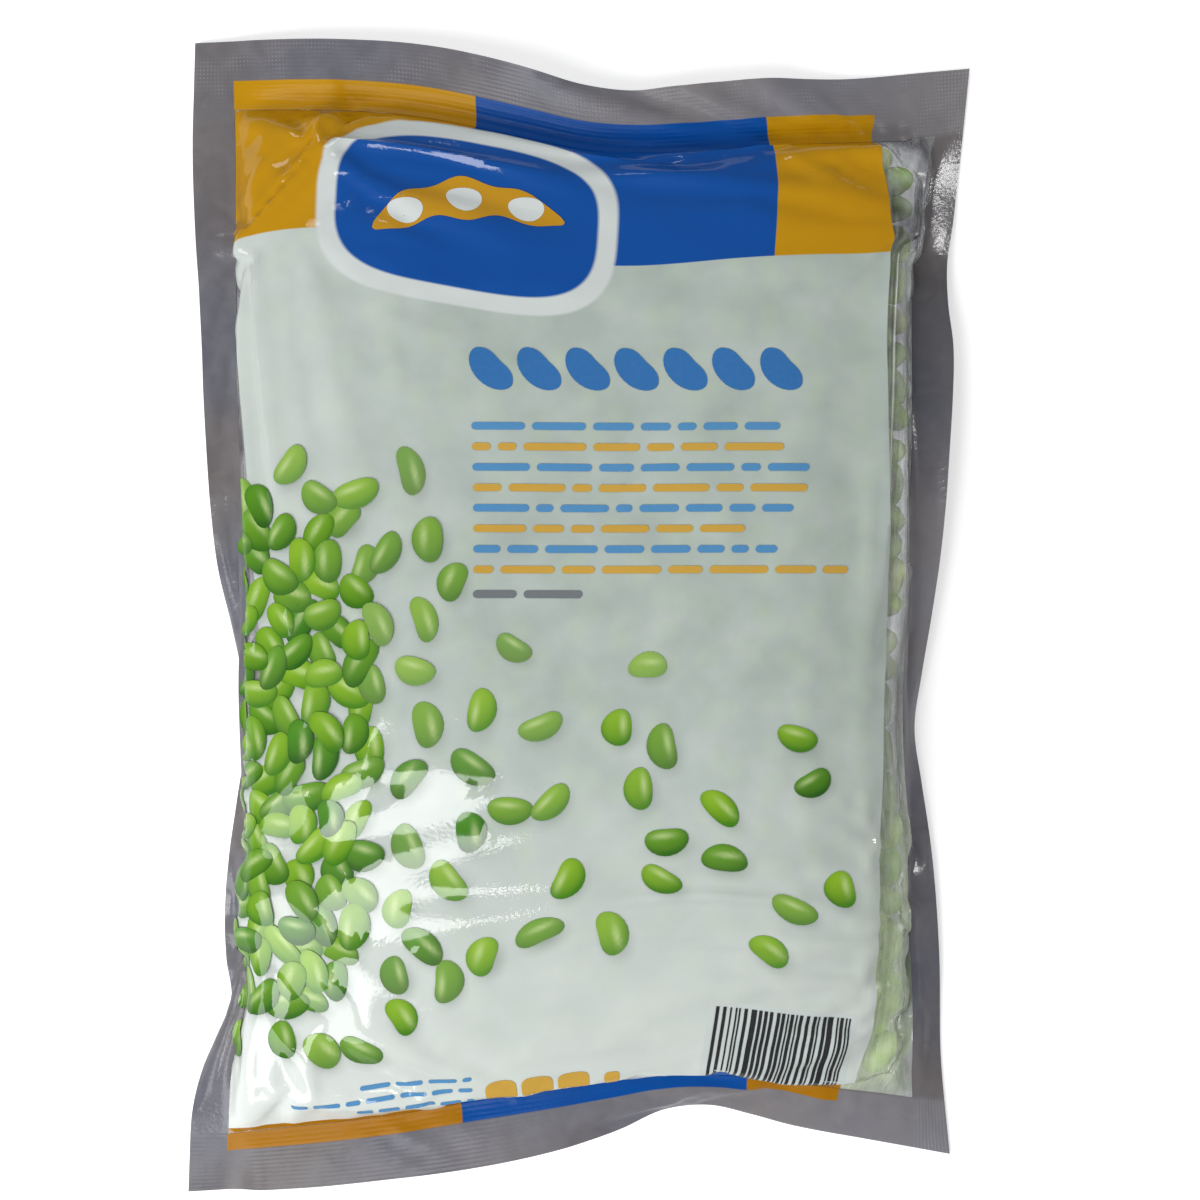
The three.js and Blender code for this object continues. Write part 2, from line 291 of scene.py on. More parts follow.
def seal_plan():
    """The whole film grid in plan and height: a Coons patch of the seams, and the seals around it."""
    left_edge, left_seam = ordered_sides("left_seal", 1, -1)
    right_edge, right_seam = ordered_sides("right_seal", 1, 1)
    bottom_edge, bottom_seam = ordered_sides("bottom_seal", 0, -1)
    top_edge, top_seam = ordered_sides("top_seal", 0, 1)
    s, t = ACROSS[None, :, None], ALONG[:, None, None]
    # the end strips' inner sides run on over the ends of the side seals, by one point each
    left, right = along_line(left_seam, ALONG)[:, None], along_line(right_seam, ALONG)[:, None]
    bottom = along_line(bottom_seam[1:-1], ACROSS)[None]
    top = along_line(top_seam[1:-1], ACROSS)[None]
    corner = [bottom_seam[1], bottom_seam[-2], top_seam[1], top_seam[-2]]
    grid = (1 - s) * left + s * right + (1 - t) * bottom + t * top - (
        (1 - s) * (1 - t) * corner[0] + s * (1 - t) * corner[1]
        + (1 - s) * t * corner[2] + s * t * corner[3]
    )
    out_u = np.abs(U - np.clip(U, U[U_LOW], U[U_HIGH])) / SIDE_SEAL
    low_v = np.clip(V[V_LOW] - V, 0, None) / BOTTOM_SEAL
    high_v = np.clip(V - V[V_HIGH], 0, None) / TOP_SEAL
    out_v = low_v + high_v
    inside_rows, inside_columns = WEB_AREA
    for columns, edge, seam in ((slice(0, U_LOW), left_edge, left_seam),
                                (slice(U_HIGH + 1, COLUMNS), right_edge, right_seam)):
        w = out_u[None, columns, None]
        inner = along_line(seam, ALONG[inside_rows])[:, None]
        outer = along_line(edge, ALONG[inside_rows])[:, None]
        grid[inside_rows, columns] = inner * (1 - w) + outer * w
    for rows, edge, seam in ((slice(0, V_LOW), bottom_edge, bottom_seam),
                             (slice(V_HIGH + 1, ROWS), top_edge, top_seam)):
        w = out_v[rows, None, None]
        inner = along_line(seam[1:-1], ACROSS[inside_columns])[None]
        outer = along_line(edge[1:-1], ACROSS[inside_columns])[None]
        grid[rows, inside_columns] = inner * (1 - w) + outer * w
        for columns, end, beside in ((slice(0, U_LOW), 0, 1), (slice(U_HIGH + 1, COLUMNS), -1, -2)):
            a = out_u[None, columns, None]
            near = seam[beside] * (1 - a) + seam[end] * a
            far = edge[beside] * (1 - a) + edge[end] * a
            grid[rows, columns] = near * (1 - w) + far * w
    return grid, np.maximum(out_u[None, :], out_v[:, None])


# --- The heap of beans --------------------------------------------------------------------------------

CELL = 3.0  # of the grid that holds the heights of the two webs
MARGIN = 12.0  # of that grid beyond the webs
CARRIED_ON = 8  # cells past the seams over which the webs are carried on
PINCH = 0.6  # their slope there


def between(values, i, j, a, b):
    """Values between the nodes of a grid: the shares a and b of a step past column i and row j."""
    return (
        (1 - a) * (1 - b) * values[j, i] + a * (1 - b) * values[j, i + 1]
        + (1 - a) * b * values[j + 1, i] + a * b * values[j + 1, i + 1]
    )


def look_up(heights, axes, points):
    """Heights under points, between the nodes of a regular grid."""
    xs, ys = axes
    step = xs[1] - xs[0]
    u = np.clip((points[:, 0] - xs[0]) / step, 0, len(xs) - 1.001)
    v = np.clip((points[:, 1] - ys[0]) / step, 0, len(ys) - 1.001)
    i, j = u.astype(int), v.astype(int)
    return between(heights, i, j, u - i, v - j)


def neighbour_sum(grid):
    """The sum over each cell and the eight round it."""
    padded = np.pad(grid, 1)
    rows, columns = grid.shape
    return sum(padded[j : j + rows, i : i + columns] for j in range(3) for i in range(3))


def cavity():
    """Heights of the two CAD webs over a grid, carried on past the seams, where they pinch shut."""
    low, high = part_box("front_web")
    xs = np.arange(low.x / MM - MARGIN, high.x / MM + MARGIN, CELL)
    ys = np.arange(low.y / MM - MARGIN, high.y / MM + MARGIN, CELL)
    heights = []
    for node, start, way in (("front_web", 0.1, -1), ("back_web", -0.1, 1)):
        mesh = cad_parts[node].data
        tree = BVHTree.FromPolygons([v.co for v in mesh.vertices], [p.vertices for p in mesh.polygons])
        grid = np.zeros((len(ys), len(xs)))
        for j, y in enumerate(ys):
            for i, x in enumerate(xs):
                hit = tree.ray_cast(Vector((x * MM, y * MM, start)), Vector((0, 0, way)))[0]
                grid[j, i] = np.nan if hit is None else hit.z / MM
        heights.append(grid)
    inside = np.isfinite(heights[0]) & np.isfinite(heights[1])
    known = inside.copy()
    front, back = (np.where(inside, h, 0.0) for h in heights)
    for _ in range(CARRIED_ON):
        count = neighbour_sum(known.astype(float))
        grown = (count > 0) & ~known
        for grid, pinch in ((front, -1), (back, 1)):
            mean = neighbour_sum(np.where(known, grid, 0.0)) / np.maximum(count, 1)
            grid[grown] = mean[grown] + pinch * CELL * PINCH
        known |= grown
    return (xs, ys), front, back, inside


def bean_axes(node):
    """A CAD bean's middle and its three axes: along it, across it towards its ends, and up."""
    points = np.unique(np.array([v.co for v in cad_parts[node].data.vertices]).round(6), axis=0) / MM
    centred = points - points.mean(0)
    axes = np.linalg.svd(centred, full_matrices=False)[2]
    along, across = axes[0], axes[1]
    lengthwise = centred @ along
    sideways = centred @ across
    if np.corrcoef(lengthwise**2, sideways)[0, 1] < 0:
        across = -across
    return points.mean(0), np.array([along, across, np.cross(along, across)])


ROUNDS = 160  # of pushing until the heap is at rest
BLOCK, BLOCK_REACH = 64, 230  # balls compared at a time, and how far along the sorted list they can touch
PUSH = 0.45  # of an overlap, taken by each of the two balls in one round
FILM_GAP = 0.6  # kept between a ball and the CAD webs


def scattered_pairs(axes, front, back, inside):
    """The loose beans before they settle: each is two balls, and deep places get more of them."""
    draw = np.random.default_rng(7)
    xs, ys = axes
    cells = np.argwhere(inside & (front - back > 2.2 * BEAN_RADIUS))
    depth = (front - back)[cells[:, 0], cells[:, 1]]
    depth = depth * (1 + 1.2 * bell(xs[cells[:, 1]] - 76, 14))  # the heap lies to the right
    cells = cells[draw.choice(len(cells), LOOSE_BEANS, p=depth / depth.sum())]
    middle = np.column_stack([xs[cells[:, 1]], ys[cells[:, 0]], np.zeros(LOOSE_BEANS)])
    middle[:, :2] += draw.uniform(-0.5, 0.5, (LOOSE_BEANS, 2)) * CELL
    low, high = look_up(back, axes, middle) + BEAN_RADIUS, look_up(front, axes, middle) - BEAN_RADIUS
    middle[:, 2] = low + (high - low) * draw.random(LOOSE_BEANS)
    way = draw.normal(size=(LOOSE_BEANS, 3)) * (1, 1, 0.45)
    way /= np.linalg.norm(way, axis=1)[:, None]
    return np.concatenate([middle + way * BALL_OFFSET, middle - way * BALL_OFFSET])


def push_apart(balls, owner):
    """Moves balls that overlap away from each other, except the two of one bean."""
    order = np.argsort(balls[:, 1], kind="stable")
    sorted_balls, sorted_owner = balls[order], owner[order]
    push = np.zeros_like(balls)
    for start in range(0, len(balls), BLOCK):
        stop, far = min(start + BLOCK, len(balls)), min(start + BLOCK_REACH, len(balls))
        gap = sorted_balls[start:stop, None] - sorted_balls[None, start:far]
        squared = (gap**2).sum(-1)
        later = np.arange(start, stop)[:, None] < np.arange(start, far)[None]
        apart = sorted_owner[start:stop, None] != sorted_owner[None, start:far]
        i, j = np.nonzero((squared < (2 * BEAN_RADIUS) ** 2) & apart & later)
        distance = np.sqrt(squared[i, j]) + 1e-9
        move = gap[i, j] * ((2 * BEAN_RADIUS - distance) / distance * PUSH)[:, None]
        np.add.at(push, i + start, move)
        np.add.at(push, j + start, -move)
    balls[order] += push


def settle(axes, front, back, inside, fixed):
    """Places the loose beans between the webs: their balls are pushed off the other balls and off the
    film until the heap is at rest. Returns the loose beans' first balls, their second, then the fixed."""
    count = LOOSE_BEANS
    balls = np.vstack([scattered_pairs(axes, front, back, inside), fixed])
    owner = np.concatenate([np.arange(2 * count) % count, count + np.arange(len(fixed)) // 2])
    free = slice(0, 2 * count)
    slopes = [np.gradient(surface, CELL) for surface in (front, back)]
    for _ in range(ROUNDS):
        push_apart(balls, owner)
        balls[2 * count :] = fixed
        a, b = balls[:count], balls[count : 2 * count]
        middle, span = (a + b) / 2, a - b
        span *= BALL_OFFSET / np.linalg.norm(span, axis=1)[:, None]
        balls[:count], balls[count : 2 * count] = middle + span, middle - span
        for surface, (slope_y, slope_x), side in ((front, slopes[0], -1), (back, slopes[1], 1)):
            sx, sy = look_up(slope_x, axes, balls[free]), look_up(slope_y, axes, balls[free])
            upright = 1 / np.sqrt(1 + sx**2 + sy**2)
            gap = side * (balls[free, 2] - look_up(surface, axes, balls[free])) * upright
            gap = gap - BEAN_RADIUS - FILM_GAP
            normal = side * np.column_stack([-sx * upright, -sy * upright, upright])
            balls[free] -= normal * np.minimum(gap, 0)[:, None]
    return balls


NO_HEAP = 1e3  # a height that stands for no heap: far under its top, or far over its underside


def heap_faces(balls, step):
    """Heights of the heap's top and underside over a grid as wide as the webs, and where it has any."""
    xs = np.arange(-93, 93.1, step)
    ys = np.arange(-137, 134.1, step)
    top = np.full((len(ys), len(xs)), -NO_HEAP)
    under = np.full_like(top, NO_HEAP)
    for x, y, z in balls:
        i = np.searchsorted(xs, [x - BEAN_RADIUS, x + BEAN_RADIUS])
        j = np.searchsorted(ys, [y - BEAN_RADIUS, y + BEAN_RADIUS])
        block = (slice(*j), slice(*i))
        rest = BEAN_RADIUS**2 - (xs[None, block[1]] - x) ** 2 - (ys[block[0], None] - y) ** 2
        rise = np.sqrt(np.maximum(rest, 0))
        top[block] = np.maximum(top[block], np.where(rest > 0, z + rise, -NO_HEAP))
        under[block] = np.minimum(under[block], np.where(rest > 0, z - rise, NO_HEAP))
    return (xs, ys), top, under, top > -NO_HEAP


# --- The film -----------------------------------------------------------------------------------------

PILLOW_HEIGHT = 33.0  # where the film starts, a little fuller than it ends
PRESSURE_FULL, PRESSURE_DRAWN = 3.0, -0.8  # gas blown in, then drawn out as the pouch is closed
SIM_FRAMES = 40


def evened(web):
    """The same surface with its grid lines spaced evenly along it, as they are on the flat film."""
    for axis in (1, 0, 1):
        lines = np.moveaxis(web, axis, 1)
        for n, line in enumerate(lines):
            at = np.concatenate([[0], np.cumsum(np.linalg.norm(np.diff(line, axis=0), axis=1))])
            even = np.linspace(0, at[-1], len(line))
            lines[n] = np.column_stack([np.interp(even, at, line[:, k]) for k in range(3)])
        web = np.moveaxis(lines, 1, axis)
    return web


def start_pillow(grid, out):
    """The film's two webs before they settle, as a smooth pillow between the seams."""
    s, t = ACROSS[None, :], ALONG[:, None]
    swell_s, swell_t = (np.clip(1 - np.abs(2 * share - 1) ** 4.5, 0, 1) for share in (s, t))
    swell = np.sqrt(swell_s * swell_t)
    front, back = grid.copy(), grid.copy()
    inside = out == 0
    seam = grid[..., 2]
    front[..., 2] = np.where(inside, seam + (PILLOW_HEIGHT - seam) * swell, seam)
    back[..., 2] = np.where(inside, seam * (1 - np.minimum(1, 1.4 * swell**1.2)), seam)
    for web in (front, back):
        web[WEB_AREA] = evened(web[WEB_AREA])
    return front, back


def plain_mesh(name, points, faces):
    mesh = bpy.data.meshes.new(name)
    mesh.from_pydata(np.asarray(points, float).tolist(), [], [tuple(map(int, f)) for f in faces])
    mesh.update()
    piece = bpy.data.objects.new(name, mesh)
    bpy.context.scene.collection.objects.link(piece)
    return piece


def quads(index):
    """Faces between the neighbours of an index grid, seen anticlockwise from above."""
    return np.stack(
        [index[:-1, :-1], index[:-1, 1:], index[1:, 1:], index[1:, :-1]], axis=-1
    ).reshape(-1, 4)


def highest_near(grid, reach, outside):
    """The highest value within a disc of reach cells round each cell."""
    padded = np.pad(grid, reach, constant_values=outside)
    rows, columns = grid.shape
    span = range(-reach, reach + 1)
    return np.max([
        padded[reach + j : reach + j + rows, reach + i : reach + i + columns]
        for j in span for i in span if i * i + j * j <= reach * reach + 1
    ], axis=0)


BRIDGE = 3  # cells that the stiff film spans between beans, to either side


def heap_collider(balls):
    """The heap as two blankets, over and under it, that span its gaps as the stiff film does."""
    (xs, ys), top, under, known = heap_faces(balls, 2.5)
    points, faces = [], []
    used = -highest_near(-highest_near(known.astype(float), BRIDGE, 0.0), BRIDGE, -1.0) > 0.5
    near = np.maximum(neighbour_sum(used.astype(float)), 1)
    for layer, surface in enumerate((top, -under)):
        spanned = -highest_near(-highest_near(surface, BRIDGE, -NO_HEAP), BRIDGE, NO_HEAP)
        eased = neighbour_sum(np.where(used, spanned, 0.0)) / near
        surface = np.maximum(surface, eased)
        surface = surface if layer == 0 else -surface
        index = np.full(surface.shape, -1)
        index[used] = np.arange(used.sum()) + len(points)
        x, y = np.meshgrid(xs, ys)
        points.extend(np.column_stack([x[used], y[used], surface[used]]))
        square = quads(index)
        square = square[(square >= 0).all(1)]
        faces.extend(square if layer == 0 else square[:, ::-1])
    heap = plain_mesh("heap_blankets", np.array(points) * MM * SIM_SCALE, faces)
    heap.modifiers.new("Collision", "COLLISION")
    heap.collision.thickness_outer = SKIN
    heap.collision.cloth_friction = 2
    heap.collision.damping = 0.3
    return heap


SKIN, CLOTH_SKIN = 0.004, 0.003  # metres that the scaled film keeps off the table and the heap

CLOTH = {  # light film that hardly stretches, in air thick enough to bring it to rest
    "quality": 6, "mass": 0.15, "air_damping": 2.0, "pin_stiffness": 1.0, "use_pressure": True,
    "tension_stiffness": 150, "tension_damping": 20, "compression_stiffness": 150,
    "compression_damping": 20, "shear_stiffness": 60, "shear_damping": 15,
    "bending_stiffness": 0.3, "bending_damping": 0.5,
    "vertex_group_mass": "held", "vertex_group_pressure": "blown",
}
SEAM_HOLD = 0.25  # how firmly the seam keeps its place; the outer edge keeps it fully


def film_cloth(grid, out):
    """One mesh of both webs, sealed together, as a pillow, with its flat size as a shape key. Returns it
    and the index of every grid point in its upper and in its lower web."""
    front, back = start_pillow(grid, out)
    index = np.arange(ROWS * COLUMNS).reshape(ROWS, COLUMNS)
    back_index = index.copy()
    inner = (slice(V_LOW + 1, V_HIGH), slice(U_LOW + 1, U_HIGH))
    shape = back_index[inner].shape
    back_index[inner] = ROWS * COLUMNS + np.arange(shape[0] * shape[1]).reshape(shape)
    flat = np.dstack([*np.meshgrid(U, V), np.zeros((ROWS, COLUMNS))])
    points, rest = (np.vstack([upper.reshape(-1, 3), lower[inner].reshape(-1, 3)])
                    for upper, lower in ((front, back), (flat, flat)))
    faces = np.vstack([quads(index), quads(back_index[WEB_AREA])[:, ::-1]])
    film = plain_mesh("film_cloth", points * MM * SIM_SCALE, faces)
    film.shape_key_add(name="Basis")
    cut = film.shape_key_add(name="cut_size")
    cut.data.foreach_set("co", (rest * MM * SIM_SCALE).ravel())
    cut.value = 0

    on_web = np.zeros((ROWS, COLUMNS), bool)
    on_web[WEB_AREA] = True
    on_seam = on_web.copy()
    on_seam[inner] = False
    held, blown = (film.vertex_groups.new(name=name) for name in ("held", "blown"))
    held.add(index[out > 0.99].tolist(), 1.0, "REPLACE")
    held.add(index[on_seam].tolist(), SEAM_HOLD, "REPLACE")
    blown.add(index[on_web].tolist(), 1.0, "REPLACE")
    blown.add(back_index[inner].ravel().tolist(), 1.0, "REPLACE")
    return film, index, back_index


def simulate_film(grid, out, balls):
    """The two webs as cloth of their flat size, sealed together, blown up and drawn down on the heap."""
    film, index, back_index = film_cloth(grid, out)
    modifier = film.modifiers.new("Cloth", "CLOTH")
    cloth = modifier.settings
    cloth.rest_shape_key = film.data.shape_keys.key_blocks["cut_size"]
    for name, value in CLOTH.items():
        setattr(cloth, name, value)
    for at, pressure in ((1, PRESSURE_FULL), (10, PRESSURE_FULL), (20, PRESSURE_DRAWN)):
        cloth.uniform_pressure_force = pressure
        cloth.keyframe_insert("uniform_pressure_force", frame=at)
    modifier.collision_settings.distance_min = CLOTH_SKIN
    modifier.collision_settings.collision_quality = 2
    modifier.collision_settings.use_self_collision = False

    bpy.ops.object.select_all(action="DESELECT")
    bpy.ops.mesh.primitive_plane_add(size=8, location=(0, 0, -SKIN))
    table = bpy.context.object
    table.modifiers.new("Collision", "COLLISION")
    table.collision.thickness_outer = SKIN
    heap = heap_collider(balls)

    scene = bpy.context.scene
    scene.frame_start, scene.frame_end = 1, SIM_FRAMES
    modifier.point_cache.frame_end = SIM_FRAMES
    for at in range(1, SIM_FRAMES + 1):
        scene.frame_set(at)
    settled = film.evaluated_get(bpy.context.evaluated_depsgraph_get()).data
    points = np.empty(len(settled.vertices) * 3, np.float32)
    settled.vertices.foreach_get("co", points)
    points = points.reshape(-1, 3).astype(float) / MM / SIM_SCALE
    for helper in (film, table, heap):
        bpy.data.objects.remove(helper)
    scene.frame_set(1)
    return points[index], points[back_index]


def finer(grid):
    """Twice as many points both ways, on smooth curves through the old ones."""
    for axis in (0, 1):
        grid = np.moveaxis(grid, axis, 0)
        ends = np.concatenate([2 * grid[:1] - grid[1:2], grid, 2 * grid[-1:] - grid[-2:-1]])
        halfway = (-ends[:-3] + 9 * ends[1:-2] + 9 * ends[2:-1] - ends[3:]) / 16
        result = np.empty((2 * len(grid) - 1, *grid.shape[1:]))
        result[::2], result[1::2] = grid, halfway
        grid = np.moveaxis(result, 0, axis)
    return grid


def normals_of(grid):
    across, along = np.gradient(grid, axis=1), np.gradient(grid, axis=0)
    normal = np.cross(across, along)
    return normal / np.linalg.norm(normal, axis=-1)[..., None]


def push_off_beans(grid, balls, side):
    """Moves film points that lie inside a bean straight out through the film, to just off the bean.
    A bean is three balls here: its own two and one at its middle."""
    pairs = balls[: 2 * LOOSE_BEANS].reshape(2, -1, 3), balls[2 * LOOSE_BEANS :].reshape(-1, 2, 3)
    middles = np.vstack([pairs[0].sum(0), pairs[1].sum(1)]) / 2
    ends, middles = (
        np.column_stack([points, np.full(len(points), radius)])
        for points, radius in ((balls, BEAN_RADIUS + 0.3), (middles, BEAN[1] / 2 + 0.25))
    )
    points, outward = grid.reshape(-1, 3), side * normals_of(grid).reshape(-1, 3)
    order = np.argsort(points[:, 1], kind="stable")
    ys = points[order, 1]
    for *ball, reach in np.vstack([ends, middles]):
        low, high = np.searchsorted(ys, [ball[1] - reach, ball[1] + reach])
        near = order[low:high]
        gap = points[near] - ball
        squared = (gap**2).sum(1)
        facing = (gap * outward[near]).sum(1)
        way_out = np.sqrt(np.maximum(facing**2 - squared + reach**2, 0)) - facing
        # a point that would have to go further lies beyond the bean's middle, and isn't this bean's
        move = (squared < reach**2) & (way_out < 1.35 * reach)
        points[near[move]] += outward[near[move]] * way_out[move][:, None]
    return points.reshape(grid.shape)


def ease_folds(grid, middle, reach, times):
    """Irons the film's finest folds out of one oval place, leaving its broad facets."""
    u, v = FINE_U[None, :], FINE_V[:, None]
    inner = np.exp(-((((u - middle[0]) / reach[0]) ** 2 + ((v - middle[1]) / reach[1]) ** 2) ** 2))
    inner *= (np.abs(u) < SEAM_U - 2) & (v > V[V_LOW]) & (v < V[V_HIGH])
    for _ in range(times):
        mean = grid.copy()
        mean[1:-1, 1:-1] = (grid[:-2, 1:-1] + grid[2:, 1:-1] + grid[1:-1, :-2] + grid[1:-1, 2:]) / 4
        grid = grid + inner[..., None] * (mean - grid)
    return grid


def tuck_header(grid):
    """The fold pressed into the film just under the top seal, over the right half of the header."""
    along = ramp(FINE_U + 25, 30) * ramp(84 - FINE_U, 25)
    line = 124.5 - 3.0 * np.cos(math.pi * FINE_U / SEAM_U)
    across = FINE_V[:, None] - line[None, :]
    valley, ridge = 1.6 * bell(across, 1.6), 0.9 * bell(across + 4, 2.4)
    grid[..., 2] -= along[None, :] * (valley - ridge)
    return grid


def cling_of(grid, balls):
    """1 where the film lies on a bean, falling to 0 a few millimetres off it."""
    beans = KDTree(len(balls))
    for n, ball in enumerate(balls):
        beans.insert(ball, n)
    beans.balance()
    gaps = np.array([beans.find(point)[2] for point in grid.reshape(-1, 3)]) - BEAN_RADIUS
    return np.exp(-np.clip(gaps - 0.5, 0, None) / 2.5).reshape(grid.shape[:2])


def touch_of(grid, balls):
    """1 where the printed film rests on the heap, so that the green shows through its white ink."""
    axes, top, _, known = heap_faces(balls, 1.0)
    points = grid.reshape(-1, 3)
    gap = points[:, 2] - look_up(np.where(known, top, 0.0), axes, points)
    return np.exp(-np.clip(gap - 0.2, 0, None) / 1.2).reshape(grid.shape[:2])


def iron_side_seal(grid):
    """Takes the small waves out of the right seal's height over its upper half."""
    on_seal = ramp(FINE_U - SEAM_U + 1, 4)[None, :] * bell(FINE_V - 72, 48, 4)[:, None]
    for _ in range(30):
        mean = grid[..., 2].copy()
        mean[1:-1] = (grid[:-2, :, 2] + grid[2:, :, 2]) / 2
        grid[..., 2] += on_seal * (mean - grid[..., 2])
    return grid


def press_hinge(grid):
    """The valley along the top seal's inner edge, where the end of the pouch hinges."""
    grid[..., 2] -= 1.8 * ramp(92 - np.abs(FINE_U), 20)[None, :] * bell(FINE_V - 133.2, 2.4)[:, None]
    return grid


FRONT_REST, BACK_REST = 0.35, 0.15  # least height of each web's outer face over the table


def shape_webs(balls):
    """Both webs as they lie on the heap: simulated, made finer, eased and moved off the beans."""
    webs = simulate_film(*seal_plan(), balls)
    front, back = (finer(web) for web in webs)
    front = ease_folds(front, (-50, -62), (54, 40), 22)  # at the left, where the film is tight and smooth
    front = ease_folds(front, (48, 66), (34, 36), 8)  # and a little at the upper right
    front = push_off_beans(tuck_header(front), balls, 1)
    back = push_off_beans(back, balls, -1)
    front, back = (iron_side_seal(press_hinge(web)) for web in (front, back))
    front[..., 2] = np.maximum(front[..., 2], FRONT_REST)
    back[..., 2] = np.maximum(back[..., 2], BACK_REST)
    return front, back


# --- Meshes laid on the film -----------------------------------------------------------------------

class Film:
    """The finished upper web and its seals as a grid, looked up by place on the flat film."""

    def __init__(self, grid):
        self.grid = grid
        self.normals = normals_of(grid)

    def lay(self, flat, lift):
        """Points of the flat film, as they lie, lifted off the film's outer face."""
        flat = np.asarray(flat, float)
        i = np.interp(flat[:, 0], FINE_U, np.arange(len(FINE_U)))
        j = np.interp(flat[:, 1], FINE_V, np.arange(len(FINE_V)))
        i0 = np.clip(i.astype(int), 0, len(FINE_U) - 2)
        j0 = np.clip(j.astype(int), 0, len(FINE_V) - 2)
        a, b = (i - i0)[:, None], (j - j0)[:, None]
        return between(self.grid, i0, j0, a, b) + between(self.normals, i0, j0, a, b) * lift

    def level(self, marks, start):
        """Moves the marks of a printed row that begins at start so that, on the full pouch, the row runs
        straight across."""
        levelled = []
        for flat, *rest in marks:
            flat = np.array(flat, float)
            begun = np.column_stack([np.full(len(flat), start), flat[:, 1]])
            flat[:, 1] -= (self.lay(flat, 0.0) - self.lay(begun, 0.0))[:, 1]
            levelled.append((flat, *rest))
        return levelled


def finish(piece, material, replaces=()):
    """Gives a piece its material, puts it on the root body, and hides the parts that it replaces."""
    piece.data.materials.append(material)
    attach(piece, "root")
    if replaces:
        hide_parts(*replaces)
    return piece


def set_attribute(mesh, name, values):
    attribute = mesh.attributes.new(name, "FLOAT", "POINT")
    attribute.data.foreach_set("value", np.asarray(values, np.float32).ravel())


def set_uv(mesh, per_vertex):
    """The place of each point on the flat film as a UV map, with the film's middle at (0.5, 0.5)."""
    layer = mesh.uv_layers.new(name="flat_film")
    loops = np.empty(len(mesh.loops), int)
    mesh.loops.foreach_get("vertex_index", loops)
    at = np.asarray(per_vertex)[loops] / UV_SPAN + 0.5
    layer.data.foreach_set("uv", at.astype(np.float32).ravel())


def thicken(piece, thickness, offset):
    """Makes a closed skin of a sheet, smooth except at its cut edges."""
    solidify = piece.modifiers.new("Solidify", "SOLIDIFY")
    solidify.thickness = thickness * MM
    solidify.offset = offset
    solidify.use_even_offset = False
    bpy.ops.object.select_all(action="DESELECT")
    piece.select_set(True)
    bpy.context.view_layer.objects.active = piece
    bpy.ops.object.modifier_apply(modifier=solidify.name)
    bpy.ops.object.shade_smooth_by_angle(angle=math.radians(60))


def beside_print():
    """How far each point of the flat film lies outside the trimmed sides of the print."""
    edges = []
    for trim in (TRIM_LEFT, TRIM_RIGHT):
        at, edge = np.array(trim, float).T
        smooth = np.convolve(np.interp(np.arange(-145, 146), at, edge), np.ones(7) / 7, "same")
        edges.append(np.interp(np.clip(FINE_V, -141, 141), np.arange(-145, 146), smooth))
    left, right = edges
    return np.maximum(FINE_U[None, :] - right[:, None], left[:, None] - FINE_U[None, :])


def film_piece(name, grid, rows, columns, wall, offset, attributes, face_down=False):
    """Part of the film as a closed skin; the grid is its outer face at offset -1, its middle at 0."""
    part = grid[rows, columns]
    faces = quads(np.arange(part.shape[0] * part.shape[1]).reshape(part.shape[:2]))
    piece = plain_mesh(name, part.reshape(-1, 3) * MM, faces[:, ::-1] if face_down else faces)
    set_uv(piece.data, np.dstack(np.meshgrid(FINE_U[columns], FINE_V[rows])).reshape(-1, 2))
    for key, values in attributes.items():
        set_attribute(piece.data, key, values[rows, columns])
    thicken(piece, wall, offset)
    return piece


def polar_patch(outline, rings, sides):
    """Points and faces of a shape around its middle; outline gives the rim's point at each angle."""
    angles = np.arange(sides) * 2 * math.pi / sides
    rim = np.array([outline(a) for a in angles])
    points = np.vstack([[[0.0, 0.0]], *[rim * (k / rings) for k in range(1, rings + 1)]])
    faces = []
    for i in range(sides):
        after = (i + 1) % sides
        faces.append((0, 1 + i, 1 + after))
        for k in range(rings - 1):
            base = 1 + k * sides
            faces.append((base + i, base + sides + i, base + sides + after, base + after))
    return points, faces


def ribbon_patch(length, half_height, step=1.2, rows=2, sag=lambda x: 0.0):
    """Points and faces of a long shape along U, half_height(x) tall to either side of sag(x)."""
    count = max(4, round(length / step))
    eased = (1 - np.cos(np.linspace(0, math.pi, count + 1))) / 2
    even = np.linspace(0, 1, count + 1)
    xs = (0.5 * eased + 0.5 * even - 0.5) * length
    points = [
        (x, sag(x) + half_height(x) * (2 * k / rows - 1)) for k in range(rows + 1) for x in xs
    ]
    index = np.arange(len(points)).reshape(rows + 1, len(xs))
    return np.array(points), [tuple(map(int, f)) for f in quads(index)]


def place(points, centre, angle=0.0):
    c, s = math.cos(angle), math.sin(angle)
    return np.asarray(points) @ np.array([[c, s], [-s, c]]) + np.asarray(centre)


INK = 0.03  # thickness of a printed mark's body
LIFT = 0.14  # of its outer face off the film's, so that the film's facets don't cut through it


def mark(patch, centre, angle=0.0, lift=LIFT):
    """A shape's points and faces, put in its place on the flat film, with its lift and attributes."""
    points, faces = patch
    return place(points, centre, angle), faces, lift, {}


